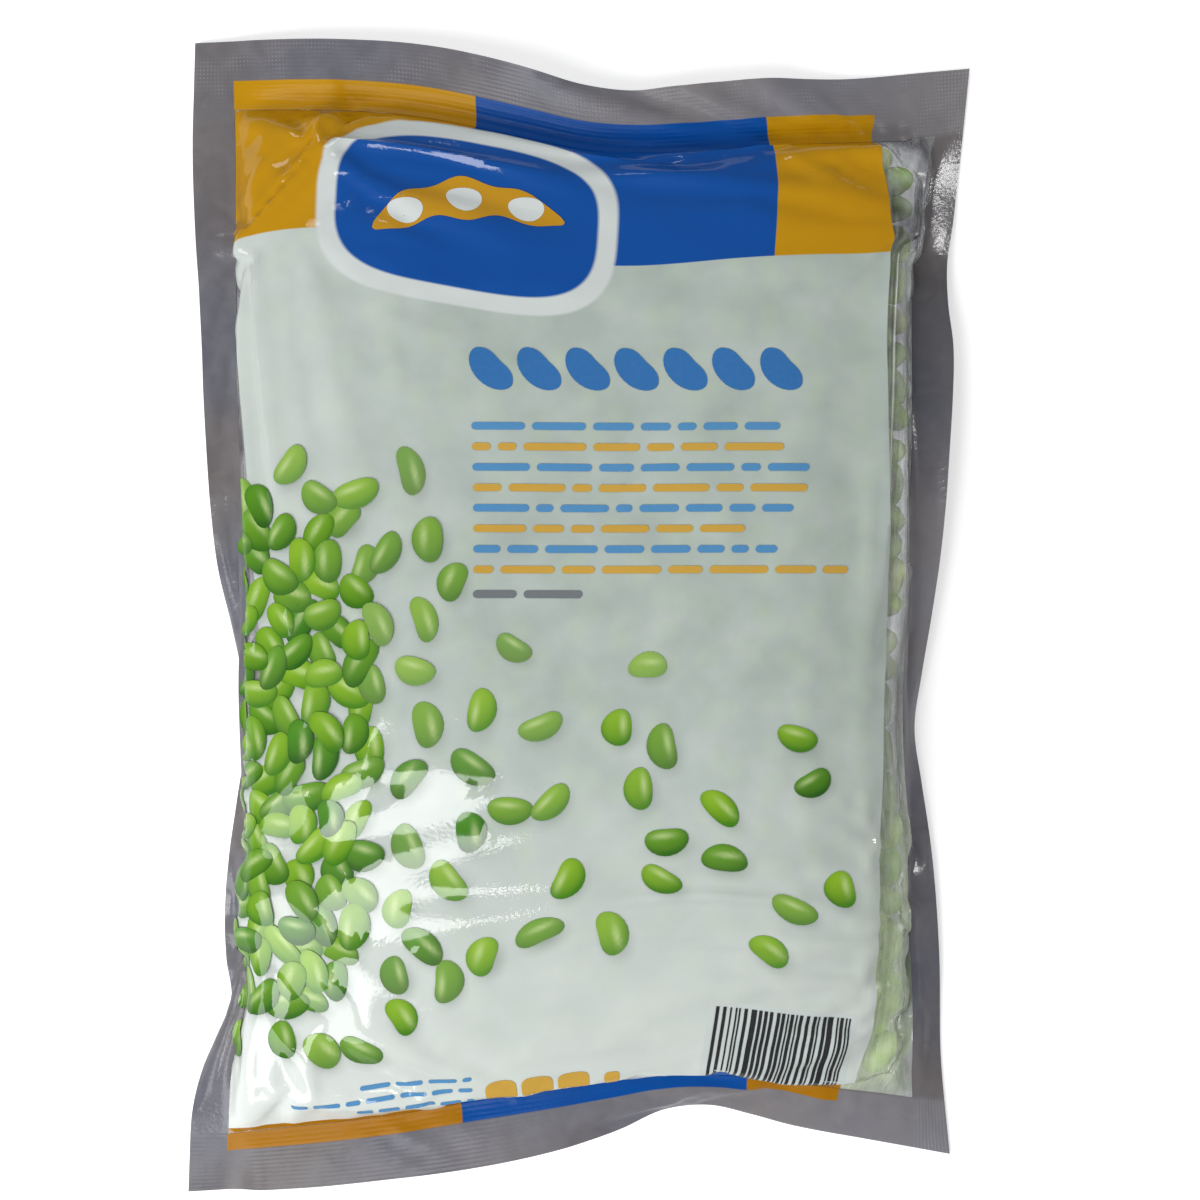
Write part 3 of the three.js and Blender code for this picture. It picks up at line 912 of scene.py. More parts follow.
def ink_piece(name, film, marks, material):
    """Printed marks as one piece. Each is (flat points, faces, lift, {attribute: values})."""
    points, faces, flats, attributes, base = [], [], [], {}, 0
    for flat, patch, lift, values in marks:
        points.append(film.lay(flat, lift))
        flats.append(flat)
        faces.extend(tuple(base + i for i in face) for face in patch)
        base += len(flat)
        for key, value in values.items():
            attributes.setdefault(key, []).append(np.broadcast_to(value, len(flat)))
    piece = plain_mesh(name, np.vstack(points) * MM, faces)
    set_uv(piece.data, np.vstack(flats))
    for key, parts in attributes.items():
        set_attribute(piece.data, key, np.concatenate(parts))
    thicken(piece, INK, -1)
    finish(piece, material)


# --- Materials ----------------------------------------------------------------------------------------
# Patterns on the film are drawn over the flat film's millimetres: a noise of scale 0.1 has patches about
# 10 mm wide, and a band texture repeats every 0.314 mm divided by its scale.

YELLOW, BLUE = "#bd8a00", "#004a9a"
FILM_GLOSS, FILM_BLUR = 0.75, 0.04  # of the film's own face over its inks


def layered(add, colour, *layers):
    """A colour with others laid over it. A layer is where it lies, how strongly, and its colour."""
    for where, strength, tone in layers:
        share = where if strength == 1 else add("Math", (where, strength), operation="MULTIPLY")
        colour = add("Mix", {0: share, 6: colour, 7: tone}, output=2, data_type="RGBA")
    return colour


def flat_millimetres(add):
    """Place on the flat film, in millimetres from its middle: the vector and its U and V."""
    uv = add("UVMap", uv_map="flat_film")
    centred = add("VectorMath", (uv, (-0.5, -0.5, 0)), operation="ADD")
    millimetres = add("VectorMath", {0: centred, "Scale": UV_SPAN}, operation="SCALE")
    return millimetres, *(add("SeparateXYZ", (millimetres,), axis) for axis in "XY")


def within(add, value, low, high, soft=0.25):
    """1 between low and high, with an edge soft millimetres wide."""
    offset = add("Math", (value, (low + high) / 2), operation="SUBTRACT")
    distance = add("Math", (offset,), operation="ABSOLUTE")
    depth = add("Math", ((high - low) / 2, distance), operation="SUBTRACT")
    return add("Math", (depth, 1 / soft, 0.5), operation="MULTIPLY_ADD", use_clamp=True)


def rounded_block(add, u, v, centre, half_width, half_height, power=3.2):
    """1 inside a block with round corners: a superellipse."""
    terms = []
    for value, middle, half in ((u, centre[0], half_width), (v, centre[1], half_height)):
        offset = add("Math", (value, middle), operation="SUBTRACT")
        share = add("Math", (offset, half), operation="DIVIDE")
        size = add("Math", (share,), operation="ABSOLUTE")
        terms.append(add("Math", (size, power), operation="POWER"))
    total = add("Math", terms, operation="ADD")
    # the factor makes the edge about 1 mm soft
    return add("Math", (total, -12.0, 12.5), operation="MULTIPLY_ADD", use_clamp=True)


def film_shine(add, head_on):
    """How much clear film mirrors: little head-on and much at a glance, alike from both its sides."""
    facing = add("LayerWeight", {"Blend": 0.5}, "Facing")
    glance = add("Math", (facing, 5.0), operation="POWER")
    return add("Math", (glance, 0.9, head_on), operation="MULTIPLY_ADD", use_clamp=True)


def glossy_ink(add, colour, relief=None, gloss=FILM_GLOSS, blur=FILM_BLUR):
    """Ink seen through the film that it is printed on: only the film's own face mirrors."""
    inputs = {"Base Color": colour, "Roughness": 0.5, "Specular IOR Level": 0.1,
              "Coat Weight": gloss, "Coat Roughness": blur, "Coat IOR": 1.5}
    if relief:
        inputs.update({"Normal": relief, "Coat Normal": relief})
    return add("BsdfPrincipled", inputs)


def crimp(add, millimetres, u, v):
    """Embossing of the heated jaws: fine ribs along the end seals and a cross-hatch at their right
    corners.
    Where ribs and columns cross, in patches and at the corners of the upper half, pale dots are painted
    as glints. Returns the height and the glint dots."""
    # ribs 1.0 mm and columns 0.9 mm apart, and patches of wear 9 mm wide
    ribs, columns = (
        add("TexWave", {"Vector": millimetres, "Scale": scale, "Distortion": distortion,
                        "Detail": 2.0, "Detail Scale": detail_scale},
            "Fac", wave_type="BANDS", wave_profile="SIN", bands_direction=axis)
        for axis, scale, distortion, detail_scale in (("Y", 0.31, 0.8, 0.4), ("X", 0.34, 1.6, 0.6))
    )
    corner = within(add, u, 91.0, 120.0, 1.0)
    in_corner = add("Math", (corner, 1.8), operation="MULTIPLY")
    hatch = add("Math", (columns, in_corner), operation="MULTIPLY")
    both = add("Math", (ribs, hatch), operation="ADD")
    pressed = add("TexNoise", {"Vector": millimetres, "Scale": 0.11, "Detail": 2.0})
    worn = add("MapRange", (pressed, 0.35, 0.65, 0.2, 1.0))
    # painted glints: pale dots where ribs and columns cross, in patches and at the right corners
    glint_patches = add("MapRange", (pressed, 0.48, 0.68, 0.0, 0.6))
    corner_glint_patches = add("Math", (corner, worn), operation="MULTIPLY")
    glint_reach = add("Math", (glint_patches, corner_glint_patches), operation="MAXIMUM")
    crossing = add("Math", (ribs, columns), operation="MULTIPLY")
    peaks = add("MapRange", (crossing, 0.4, 0.95))
    glint_dots = add("Math", (peaks, glint_reach), operation="MULTIPLY")
    at_head = within(add, v, 0.0, 160.0)
    return [add("Math", pair, operation="MULTIPLY") for pair in ((both, worn), (glint_dots, at_head))]


def seal_colour(add, millimetres, u, v, creases, on_end, glint_dots):
    """The fused webs are grey-violet and drift between warm and cool. Along the right half of the end
    seals they are painted paler, a painted sheen, and at the glint dots paler still, as painted glints.
    On the right seal a paler band at the pouch's waist is painted light, and a darker band above it
    painted shade."""
    drift = add("TexNoise", {"Vector": millimetres, "Scale": 0.025, "Detail": 1.0})
    cast = add("MapRange", (drift, 0.35, 0.65))
    warm_or_cool = layered(add, "#8f857b", (cast, 1, "#727a8c"))
    webs = layered(add, "#726f75", (creases, 1, "#a4a1a7"))
    # painted sheen: the end seals are painted paler towards their right
    paler = add("MapRange", (u, -40.0, 60.0, 0.0, 0.35))
    on_right = within(add, u, 88.0, 120.0, 1.0)
    # painted light and shade: a paler band at the right seal's waist and a darker band above it
    waist_light, upper_shade = (
        add("Math", (within(add, v, low, high, 30.0), on_right), operation="MULTIPLY")
        for low, high in ((-38.0, 22.0), (45.0, 105.0))
    )
    drifting = add("Mix", {0: 0.4, 6: webs, 7: warm_or_cool}, output=2, data_type="RGBA")
    return layered(add, drifting, (paler, on_end, "#b9b7bd"), (glint_dots, 0.6, "#dcdbe2"),
                   (waist_light, 0.5, "#bcbbc2"), (upper_shade, 0.4, "#3a393b"))


def window_haze(add, millimetres, u, v):
    """How cloudy the clear web is: drawn tight in long crinkles, and whitest along its seam and foot."""
    stretched = add("VectorMath", (millimetres, (0.9, 0.1, 0.0)), operation="MULTIPLY")
    crinkles = add("TexNoise", {"Vector": stretched, "Scale": 1.0, "Detail": 3.0})
    streaks = add("MapRange", (crinkles, 0.42, 0.68, 0.03, 0.22))
    at_seam = add("Math", (within(add, u, 87.0, 92.0, 2.5), 0.3), operation="MULTIPLY")
    at_foot = add("MapRange", (v, 90.0, -130.0, 0.0, 0.2))
    haze = add("Math", (streaks, at_seam), operation="ADD")
    return add("Math", (haze, at_foot), operation="ADD")


def window_tint_and_haze(add, v, haze, cloudy):
    """The upper web is clearest where it clings to a bean. Where it hangs free of the beans it is painted
    a smoky grey, a painted shade for the gaps between them; low down it is painted paler and a pale
    green, as painted light. Returns what shows through, the haze and the haze's colour."""
    cling = add("Attribute", output="Fac", attribute_name="cling")
    near_beans = add("MapRange", (cling, 0.0, 0.3))
    low_down = add("MapRange", (v, -5.0, -115.0))
    clearer = add("MapRange", (cling, 0.0, 1.0, 1.0, 0.75))
    # painted light: more pale haze towards the foot
    frost = add("Math", (low_down, 0.07), operation="MULTIPLY")
    haze = add("Math", (haze, clearer, frost), operation="MULTIPLY_ADD")
    # painted shade: dark grey where the film hangs free of the beans, paler near them and towards the
    # foot, clear on them
    tint = layered(add, "#95939a", (near_beans, 1, "#e6e4ea"), (low_down, 1, "#e2e7dc"),
                   (cling, 1, "#ffffff"))
    over_beans = layered(add, "#d3d8d3", (cling, 1, "#e4f6c8"))
    return tint, haze, layered(add, cloudy, (low_down, 1, over_beans))


def panel_colour(add, millimetres, u, v, sealed):
    """The panel's inks: white, then the header's and the footer's blocks of yellow and blue, the badge's
    plate in its pale border, and the field behind the bar pattern."""
    in_header, in_footer = within(add, v, HEADER_FOOT, 160.0), within(add, v, -160.0, FOOTER_HEAD)
    blocks = add("Math", (in_header, in_footer), operation="MAXIMUM")
    block_colour = layered(add, YELLOW, (in_footer, 1, "#a66e00"), (within(add, u, *BLUE_BLOCK), 1, BLUE))
    blotches = add("TexNoise", {"Vector": millimetres, "Scale": 0.07, "Detail": 3.0})
    white = layered(add, "#96a49c", (blotches, 1, "#c4ccc7"))
    if not sealed:
        touch, shade = (add("Attribute", output="Fac", attribute_name=name)
                        for name in ("touch", "printed_shade"))
        # painted light: near the foot and the left side the white ink is painted paler, where the light
        # from the lower left falls
        at_foot = add("MapRange", (v, -20.0, -130.0, 0.0, 0.6))
        at_left = add("MapRange", (u, -20.0, -90.0, 0.0, 0.4))
        lit_foot_and_left = add("Math", (at_foot, at_left), operation="ADD")
        white = layered(add, white, (touch, 0.4, "#b3c6a4"), (lit_foot_and_left, 1, "#dfe4e0"),
                        (shade, 0.75, "#8b978c"))
    border, plate = (rounded_block(add, u, v, BADGE, *half) for half in (BADGE_BORDER, BADGE_PLATE))
    in_field = within(add, u, *BAR_FIELD[0]), within(add, v, *BAR_FIELD[1])
    field = add("Math", in_field, operation="MULTIPLY")
    return layered(add, white, (blocks, 1, block_colour), (border, 1, "#cbd2d0"), (plate, 1, BLUE),
                   (field, 1, "#c6cecb"))


def pouch_film(name, printed, sealed):
    """Laminated polyethylene film, cast and reverse-printed: inks under a gloss that mirrors sharply,
    and outside the panel a smoky clear web; where it is sealed, two webs fused to a greyer, hazy strip
    with the ribs of the jaws."""
    material, add = new_material(name)
    millimetres, u, v = flat_millimetres(add)
    grain = add("TexNoise", {"Vector": millimetres, "Scale": 0.9, "Detail": 3.0})
    creases = add("TexNoise", {"Vector": millimetres, "Scale": 0.16, "Detail": 2.0, "Distortion": 0.8})
    height = add("Math", (creases, 0.4, grain), operation="MULTIPLY_ADD")
    if sealed:
        between_ends = within(add, v, -134.0, 131.5, 1.5)
        on_end = add("Math", (between_ends, -1.0, 1.0), operation="MULTIPLY_ADD")
        ribs, glint_dots = (add("Math", (part, on_end), operation="MULTIPLY")
                      for part in crimp(add, millimetres, u, v))
        height = add("Math", (ribs, 0.8, height), operation="MULTIPLY_ADD")
        roughness = add("MapRange", (on_end, 0.0, 1.0, 0.14, 0.3))
        head_on = add("MapRange", (on_end, 0.0, 1.0, 0.03, 0.012))
        tint, haze = "#8d8b90", 0.6
        cloudy = seal_colour(add, millimetres, u, v, creases, on_end, glint_dots)
    else:
        roughness, head_on = 0.3 if printed else 0.06, 0.045
        tint, haze = "#f7f9f8", window_haze(add, millimetres, u, v)
        cloudy = layered(add, "#b4b6b8", (creases, 1, "#dedfe0"))
        if printed:
            tint, haze, cloudy = window_tint_and_haze(add, v, haze, cloudy)
    relief = add("Bump", {"Height": height, "Strength": 0.28 if sealed else 0.12, "Distance": 0.0002})
    see = add("BsdfTransparent", {"Color": tint})
    cloud = add("BsdfPrincipled", {"Base Color": cloudy, "Roughness": 0.35, "Normal": relief,
                                   "Specular IOR Level": 0.15 if sealed else 0.5})
    clear = add("MixShader", (haze, see, cloud))
    mirror = add("BsdfGlossy", {"Roughness": roughness, "Normal": relief})
    surface = add("MixShader", (film_shine(add, head_on), clear, mirror))
    if printed:
        gloss, blur = (0.15, 0.3) if sealed else (FILM_GLOSS, FILM_BLUR)
        ink = glossy_ink(add, panel_colour(add, millimetres, u, v, sealed), relief, gloss, blur)
        beside = add("Attribute", output="Fac", attribute_name="beside_print")
        on_panel = within(add, v, *PANEL[2:]), within(add, beside, -400.0, 0.0)
        panel = add("Math", on_panel, operation="MULTIPLY")
        surface = add("MixShader", (panel, surface, ink))
    add("OutputMaterial", {"Surface": surface})
    return material


def ink_material(name, colour):
    """Flexographic ink under gloss film: one even colour with a faint mottle of the plate."""
    material, add = new_material(name)
    mottle = add("TexNoise", {"Vector": flat_millimetres(add)[0], "Scale": 0.8, "Detail": 2.0})
    relief = add("Bump", {"Height": mottle, "Strength": 0.1, "Distance": 0.0002})
    ink = glossy_ink(add, layered(add, colour, (mottle, 0.02, "#ffffff")), relief)
    add("OutputMaterial", {"Surface": ink})
    return material


def printed_bean_material():
    """A printed picture of beans: each is lighter where its painted light falls, with a soft streak."""
    material, add = new_material("printed_bean_inks")
    tone, light, streak, paler = (
        add("Attribute", output="Fac", attribute_name=name)
        for name in ("tone", "painted_light", "painted_streak", "paler")
    )
    dark = layered(add, "#124a04", (tone, 1, "#3a7a06"))
    lit = layered(add, "#4e921a", (tone, 1, "#9cc428"))
    green = layered(add, dark, (light, 1, lit), (paler, 1, "#9cba70"), (streak, 1, "#cfe0a0"))
    add("OutputMaterial", {"Surface": glossy_ink(add, green)})
    return material


def frozen_bean_material():
    """Blanched soybean, quick-frozen: waxy green skin under a patchy white frost."""
    material, add = new_material("frosted_soybean_skin")
    on_bean = add("TexCoord", output="Object")
    tone, scar = (add("Attribute", output="Fac", attribute_name=name) for name in ("tone", "scar"))
    # noise scales are per metre: frost patches of 3 mm and crystals of 0.5 mm
    patches = add("TexNoise", {"Vector": on_bean, "Scale": 330.0, "Detail": 4.0})
    crystals = add("TexNoise", {"Vector": on_bean, "Scale": 2000.0, "Detail": 2.0})
    frost = add("MapRange", (patches, 0.35, 0.7, 0.06, 0.55))
    skin = layered(add, "#a0cf55", (tone, 1, "#d3e67c"), (scar, 1, "#8a7f45"), (frost, 1, "#e4eedc"))
    relief = add("Bump", {"Height": crystals, "Strength": 0.3, "Distance": 0.0003})
    roughness = add("MapRange", (frost, 0.0, 1.0, 0.38, 0.7))
    bean = add("BsdfPrincipled", {"Base Color": skin, "Roughness": roughness, "Normal": relief,
                                  "Subsurface Weight": 0.15, "Subsurface Scale": 0.002})
    add("OutputMaterial", {"Surface": bean})
    return material


# --- Beans --------------------------------------------------------------------------------------------

def from_lowest(face):
    """The same face, begun at its lowest index."""
    start = face.index(min(face))
    return face[start:] + face[:start]


def model_bean(segments, rings):
    """One shelled bean at the origin, long along X, curved towards +Y; returns points, faces, scar."""
    bpy.ops.object.select_all(action="DESELECT")
    bpy.ops.mesh.primitive_uv_sphere_add(segments=segments, ring_count=rings, radius=0.5)
    bean = bpy.context.object
    bpy.ops.object.mode_set(mode="EDIT")
    bpy.ops.transform.rotate(value=math.pi / 2, orient_axis="Y", center_override=(0, 0, 0))
    bpy.ops.transform.resize(value=tuple(size * MM for size in BEAN))
    bpy.ops.object.mode_set(mode="OBJECT")
    points = np.array([v.co for v in bean.data.vertices]) / MM
    # a new sphere's faces come in another order at each run
    faces = sorted(from_lowest(tuple(p.vertices)) for p in bean.data.polygons)
    bpy.data.objects.remove(bean)
    length, width, _ = BEAN
    x = points[:, 0] / (length / 2)
    points[:, 1] += 0.16 * (x**2 - 0.5) * width / 2
    hollow = bell(x, 0.45) * ramp(points[:, 1], width / 2) ** 2
    points[:, 1] -= 0.5 * hollow
    scar = np.exp(-((x / 0.3) ** 2) - (points[:, 2] / 0.9) ** 2) * (points[:, 1] > 0)
    return points, faces, scar


def bean_piece(name, shape, frames, draw, material, replaces):
    """Copies of a bean as one piece: each frame is a middle and three axes, and sizes and tones vary."""
    points, faces, scar = shape
    all_points, all_faces, tones = [], [], []
    for n, (middle, axes) in enumerate(frames):
        size = draw.uniform(0.88, 0.99)
        all_points.append((points * size) @ axes + middle)
        all_faces.extend(tuple(n * len(points) + i for i in face) for face in faces)
        tones.append(np.full(len(points), draw.random()))
    piece = plain_mesh(name, np.vstack(all_points) * MM, all_faces)
    set_attribute(piece.data, "tone", np.concatenate(tones))
    set_attribute(piece.data, "scar", np.tile(scar, len(frames)))
    piece.data.shade_smooth()
    finish(piece, material, replaces)


def loose_bean_frames(balls, draw):
    frames = []
    for a, b in zip(balls[:LOOSE_BEANS], balls[LOOSE_BEANS : 2 * LOOSE_BEANS]):
        along = (a - b) / np.linalg.norm(a - b)
        aside = np.cross(along, draw.normal(size=3))
        aside /= np.linalg.norm(aside)
        middle = (a + b) / 2
        # beans at the steep sides sit a little further in than their balls, clear of the film
        middle[0] -= 0.14 * np.sign(middle[0]) * max(0.0, abs(middle[0]) - 74.0)
        frames.append((middle, np.array([along, aside, np.cross(along, aside)])))
    return frames


# --- Print ---------------------------------------------------------------------------------------------

def full_oval(angle, half_width, half_height, power):
    """A point of an oval with ends as full as power says: 2 is an ellipse, and more is squarer."""
    c, s = math.cos(angle), math.sin(angle)
    r = (abs(c) ** power + abs(s) ** power) ** (-1 / power)
    return half_width * r * c, half_height * r * s


def bean_outline(length, width, hollow):
    def outline(angle):
        x, y = length / 2 * math.cos(angle), width / 2 * math.sin(angle)
        dent = hollow * width * math.exp(-(((angle - math.pi / 2) / 0.55) ** 2))
        return x, y + 0.1 * width * ((2 * x / length) ** 2 - 0.5) - dent
    return outline


def printed_bean(centre, angle, length, width, hollow, tone, paler, lift):
    points, faces = polar_patch(bean_outline(length, width, hollow), 5, 22)
    x, y = points[:, 0] / (length / 2), points[:, 1] / (width / 2)
    turned = place(np.column_stack([x, y]), (0, 0), angle)
    light = 0.55 + 0.4 * (turned @ np.array([-0.35, 0.9])) - 0.35 * np.hypot(x, y) ** 4
    side = 1 if math.cos(angle) >= 0 else -1
    streak = np.exp(-((x + 0.15) / 0.5) ** 2 - ((y - 0.32 * side) / 0.2) ** 2) * 0.55
    values = {"tone": tone, "paler": paler, "painted_light": np.clip(light, 0, 1),
              "painted_streak": streak}
    return place(points, centre, angle), faces, lift, values


def bent_oval(length, width, radius):
    """An oval with full ends, bent round a circle: the plainest drawing of a bean."""
    def outline(angle):
        x, y = full_oval(angle, length / 2, width / 2, 2.5)
        return (radius + y) * math.sin(x / radius), (radius + y) * math.cos(x / radius) - radius + 0.8
    return outline


TRIES = 9000  # at placing a printed bean
DENSE, SPARSE = 5.4, 9.2  # least distance between two middles, in the heap and in the spill


def scatter_printed_beans():
    """A spill of beans over the panel: heaped along the left side, thinning out to the right."""
    draw = np.random.default_rng(21)
    left, right, _, _ = PANEL
    (field_left, field_right), (_, field_top) = BAR_FIELD
    placed = []
    for _ in range(TRIES):
        u, v = draw.uniform(left + 1, right - 6), draw.uniform(-112, 36)
        away = (u - left) / 42
        heap = math.exp(-(away**4) - abs((v + 34) / 66) ** 5)
        reach = (u - left) / (right - left)
        spill = math.exp(-(((v + 38 + 30 * reach) / 30) ** 2)) * (0.24 - 0.2 * reach)
        if draw.random() > heap + 0.35 * spill:
            continue
        need = DENSE if heap > 0.4 else SPARSE + 5 * draw.random() * reach
        if field_left - 7 < u < field_right + 7 and v < field_top + 7:
            continue
        if all((u - a) ** 2 + (v - b) ** 2 > need**2 for a, b, *_ in placed):
            paler = (0.1 if heap > 0.4 else 0.4) * draw.random() ** 2
            paler += 0.2 if v > -20 and heap < 0.5 else 0.0
            placed.append((u, v, draw.uniform(0, 2 * math.pi), draw.uniform(9.6, 12.6),
                           draw.uniform(6.4, 7.9), draw.uniform(0.0, 0.1), draw.random(), paler))
    draw.shuffle(placed)
    return placed


OVERLAP = 12.5  # middles of two printed beans this near may overlap
LIFT_STEP = 0.04  # from one layer of them to the next


def layer_lifts(placed):
    """A lift for each mark, one thin step over the highest that it overlaps."""
    levels = []
    for n, bean in enumerate(placed):
        under = [levels[m] for m in range(n) if math.dist(bean[:2], placed[m][:2]) < OVERLAP]
        levels.append(1 + max(under, default=0))
    return [LIFT - 0.01 + LIFT_STEP * level for level in levels]


def printed_shade(placed):
    """The printed soft shadow to the lower right of each printed bean, over the film grid."""
    shade = np.zeros((len(FINE_V), len(FINE_U)))
    for u, v, angle, length, width, *_ in placed:
        c, s = math.cos(angle), math.sin(angle)
        i = slice(*np.searchsorted(FINE_U, [u - 12, u + 13]))
        j = slice(*np.searchsorted(FINE_V, [v - 13, v + 12]))
        du, dv = FINE_U[None, i] - (u + 1.1), FINE_V[j, None] - (v - 1.5)
        x, y = (du * c + dv * s) / (length / 2), (-du * s + dv * c) / (width / 2)
        shade[j, i] = np.maximum(shade[j, i], np.clip(1.35 - np.hypot(x, y), 0, 1))
    return shade**1.3


def bar_mark(u, v, length, height):
    """A plain bar with round ends."""
    half = height / 2
    turn = np.linspace(0.12, math.pi / 2, 5)
    end, rise = half * (1 - np.cos(turn)), half * np.sin(turn)
    middle = np.linspace(half, length - half, max(2, round(length / 1.4)))
    xs = np.concatenate([end[:-1], middle, length - end[-2::-1]])
    rises = np.concatenate([rise[:-1], np.full(len(middle), half), rise[-2::-1]])
    points = np.vstack([np.column_stack([xs, rises * side]) for side in (-1, 0, 1)])
    return mark((points, quads(np.arange(len(points)).reshape(3, -1))), (u, v))


def text_like_bars(draw, left, right, v, height, words=(4.0, 15.0), gap=1.7):
    """A line of plain rounded bars, as long and as broken as a line of small print."""
    marks, u = [], left
    while right - u > words[0] * 0.6:
        length = min(draw.uniform(*words), right - u)
        marks.append(bar_mark(u, v, length, height))
        u += length + gap
    return marks


def print_badge(film):
    """A plain pod with three seeds, in the middle of the badge's plate."""
    length, tilt = 46.0, 0.22

    def half_height(x):
        bulges = 0.86 + 0.16 * math.cos(6 * math.pi * x / length)
        return 5.6 * math.sqrt(max(0.0, 1 - (2 * x / length) ** 2)) * bulges + 0.15

    def bow(x):
        return 3.5 - 0.012 * x * x

    pod = mark(ribbon_patch(length, half_height, step=1.0, rows=10, sag=bow), BADGE, tilt, 0.16)
    ink_piece("badge_pod", film, [pod], ink_material("yellow_ink", YELLOW))
    points, faces = polar_patch(bean_outline(8.6, 6.4, 0.0), 6, 26)
    seeds = [mark((place(points, (x, bow(x))), faces), BADGE, tilt, 0.24) for x in (-14.5, 0.0, 14.5)]
    ink_piece("badge_seeds", film, seeds, ink_material("white_ink", "#cfd6d4"))


TEXT_LEFT = -25.5  # where the lines of the text column begin
LINE_LENGTHS = (76, 75, 82, 81, 79, 66, 74, 92)  # from the top down, blue and yellow in turn
LINE_PITCH, LINE_HEIGHT = 5.2, 1.9
SMALL_RIGHT, SMALL_LENGTHS, SMALL_PITCH = -24.0, (28.0, 46.0, 30.0), 3.3  # small print at the foot


def print_text(film, draw):
    """The title as a row of bent ovals, and the text as bars: the column, a short grey line under it, and
    the small print with four blocks beside it."""
    oval = polar_patch(bent_oval(12.6, 7.2, 7.4), 9, 40)
    title = [mark(oval, (-20.2 + 11.5 * n, 61.6), 2.3) for n in range(7)]
    ink_piece("title_row", film, film.level(title, -25.0), ink_material("mid_blue_ink", "#2a6cab"))

    lines = [
        text_like_bars(draw, TEXT_LEFT, TEXT_LEFT + length, 46.8 - LINE_PITCH * n, LINE_HEIGHT)
        for n, length in enumerate(LINE_LENGTHS)
    ]
    blue, yellow = (film.level(sum(lines[start::2], []), TEXT_LEFT) for start in (0, 1))
    for n, length in enumerate(SMALL_LENGTHS):
        blue += text_like_bars(draw, SMALL_RIGHT - length, SMALL_RIGHT, -122.0 - SMALL_PITCH * n, 1.2,
                               words=(3.0, 9.0), gap=1.4)
    for half, u in ((3.9, -17.0), (3.9, -8.0), (3.9, 1.0), (1.9, 10.5)):
        block = polar_patch(lambda a: full_oval(a, half, min(half, 3.2), 3.4), 4, 32)
        yellow.append(mark(block, (u, -127.0)))
    grey = film.level(text_like_bars(draw, TEXT_LEFT, 2.0, 4.2, 2.0), TEXT_LEFT)
    ink_piece("blue_lines", film, blue, ink_material("light_blue_ink", "#4d8abb"))
    ink_piece("yellow_lines", film, yellow, ink_material("light_yellow_ink", "#c79d3c"))
    ink_piece("grey_line", film, grey, ink_material("grey_ink", "#6d7377"))


def print_bars(film, draw):
    """Upright bars of random widths, which encode nothing."""
    bars, u = [], 34.0
    while u < 66.4:
        width = float(draw.choice([0.4, 0.4, 0.8, 0.8, 1.3]))
        bar = ribbon_patch(21.5, lambda x: width / 2, step=1.1, rows=1)
        bars.append(mark(bar, (u + width / 2, -118.2), math.pi / 2))
        u += width + float(draw.choice([0.4, 0.5, 0.9]))
    ink_piece("bar_pattern", film, bars, ink_material("black_ink", "#1b1c20"))


def print_panel(film, placed):
    """All that is printed over the panel's own colours."""
    beans = [printed_bean(bean[:2], *bean[2:], lift) for bean, lift in zip(placed, layer_lifts(placed))]
    ink_piece("printed_beans", film, beans, printed_bean_material())
    print_badge(film)
    draw = np.random.default_rng(5)
    print_text(film, draw)
    print_bars(film, draw)


# --- The pouch ------------------------------------------------------------------------------------------

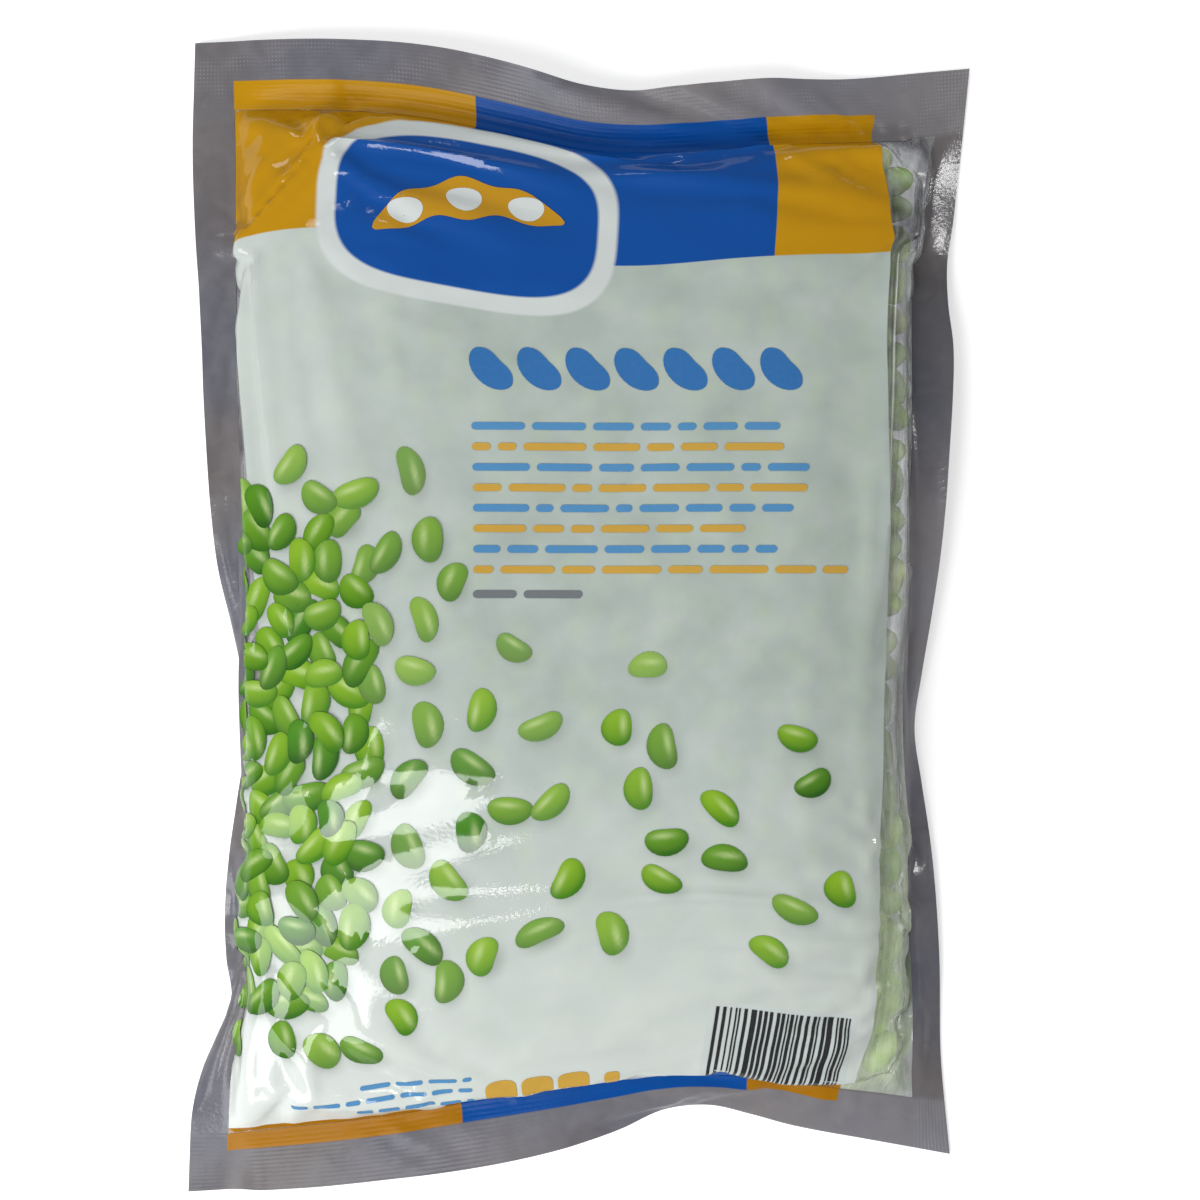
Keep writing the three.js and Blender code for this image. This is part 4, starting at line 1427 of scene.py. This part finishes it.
def add_film(front, back, attributes):
    """The two webs between the seams, and the four seals as strips of both webs."""
    rows, columns = slice(2 * V_LOW, 2 * V_HIGH + 1), slice(2 * U_LOW, 2 * U_HIGH + 1)
    front_film = film_piece("front_film", front, rows, columns, WEB, -1, attributes)
    finish(front_film, pouch_film("reverse_printed_film", True, False), ["front_web"])
    back_film = film_piece("back_film", back, rows, columns, WEB, -1, {}, face_down=True)
    finish(back_film, pouch_film("clear_film", False, False), ["back_web"])

    sealed_print = pouch_film("sealed_printed_film", True, True)
    beside = {"beside_print": attributes["beside_print"]}
    for node, strip_rows, strip_columns in (
        ("top_seal", slice(2 * V_HIGH, None), slice(None)),
        ("bottom_seal", slice(0, 2 * V_LOW + 1), slice(None)),
        ("left_seal", rows, slice(0, 2 * U_LOW + 1)),
        ("right_seal", rows, slice(2 * U_HIGH, None)),
    ):
        strip = film_piece(node + "_strip", front, strip_rows, strip_columns, SEALED, 0, beside)
        finish(strip, sealed_print, [node])


def add_beans(balls, window_frames):
    """The beans of the clear strip, finely modelled, and the heap behind the print, in coarser ones."""
    skin = frozen_bean_material()
    draw = np.random.default_rng(11)
    fine, coarse = model_bean(24, 14), model_bean(10, 7)
    for column in ("edge", "upper", "lower"):
        nodes = [n for n in window_frames if n.startswith(column)]
        bean_piece(f"{column}_window_beans", fine, [window_frames[n] for n in nodes], draw, skin, nodes)
    frames = sorted(loose_bean_frames(balls, draw), key=lambda f: f[0][1])
    third = len(frames) // 3 + 1
    for n, name in enumerate(("bottom", "middle", "top")):
        part = frames[n * third : (n + 1) * third]
        bean_piece(f"{name}_heap_beans", coarse, part, draw, skin, ["bean_bed"])


def build_pouch():
    window_frames = {n: bean_axes(n) for n in sorted(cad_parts) if "_bean_" in n}
    fixed = np.array([m + s * BALL_OFFSET * a[0] for m, a in window_frames.values() for s in (1, -1)])
    balls = settle(*cavity(), fixed)
    front, back = shape_webs(balls)
    placed = scatter_printed_beans()
    print_panel(Film(front), placed)
    add_film(front, back, {
        "touch": touch_of(front, balls),
        "cling": cling_of(front, balls),
        "printed_shade": printed_shade(placed),
        "beside_print": beside_print(),
    })
    add_beans(balls, window_frames)


SOFTBOXES = (  # name, place and size in metres, watts
    ("key_softbox", (-0.24, -0.28, 0.82), (0.24, 0.3), 2.4),
    ("corner_softbox", (-0.68, -0.57, 0.65), (0.85, 0.55), 8.4),
    ("fill_softbox", (0.92, 0.25, 0.56), (0.15, 0.19), 2.5),
    ("top_softbox", (-0.34, 0.92, 0.72), (0.5, 0.4), 3.2),
)

set_camera()
set_world()
make_floor()
for light in SOFTBOXES:
    softbox(*light)
build_pouch()
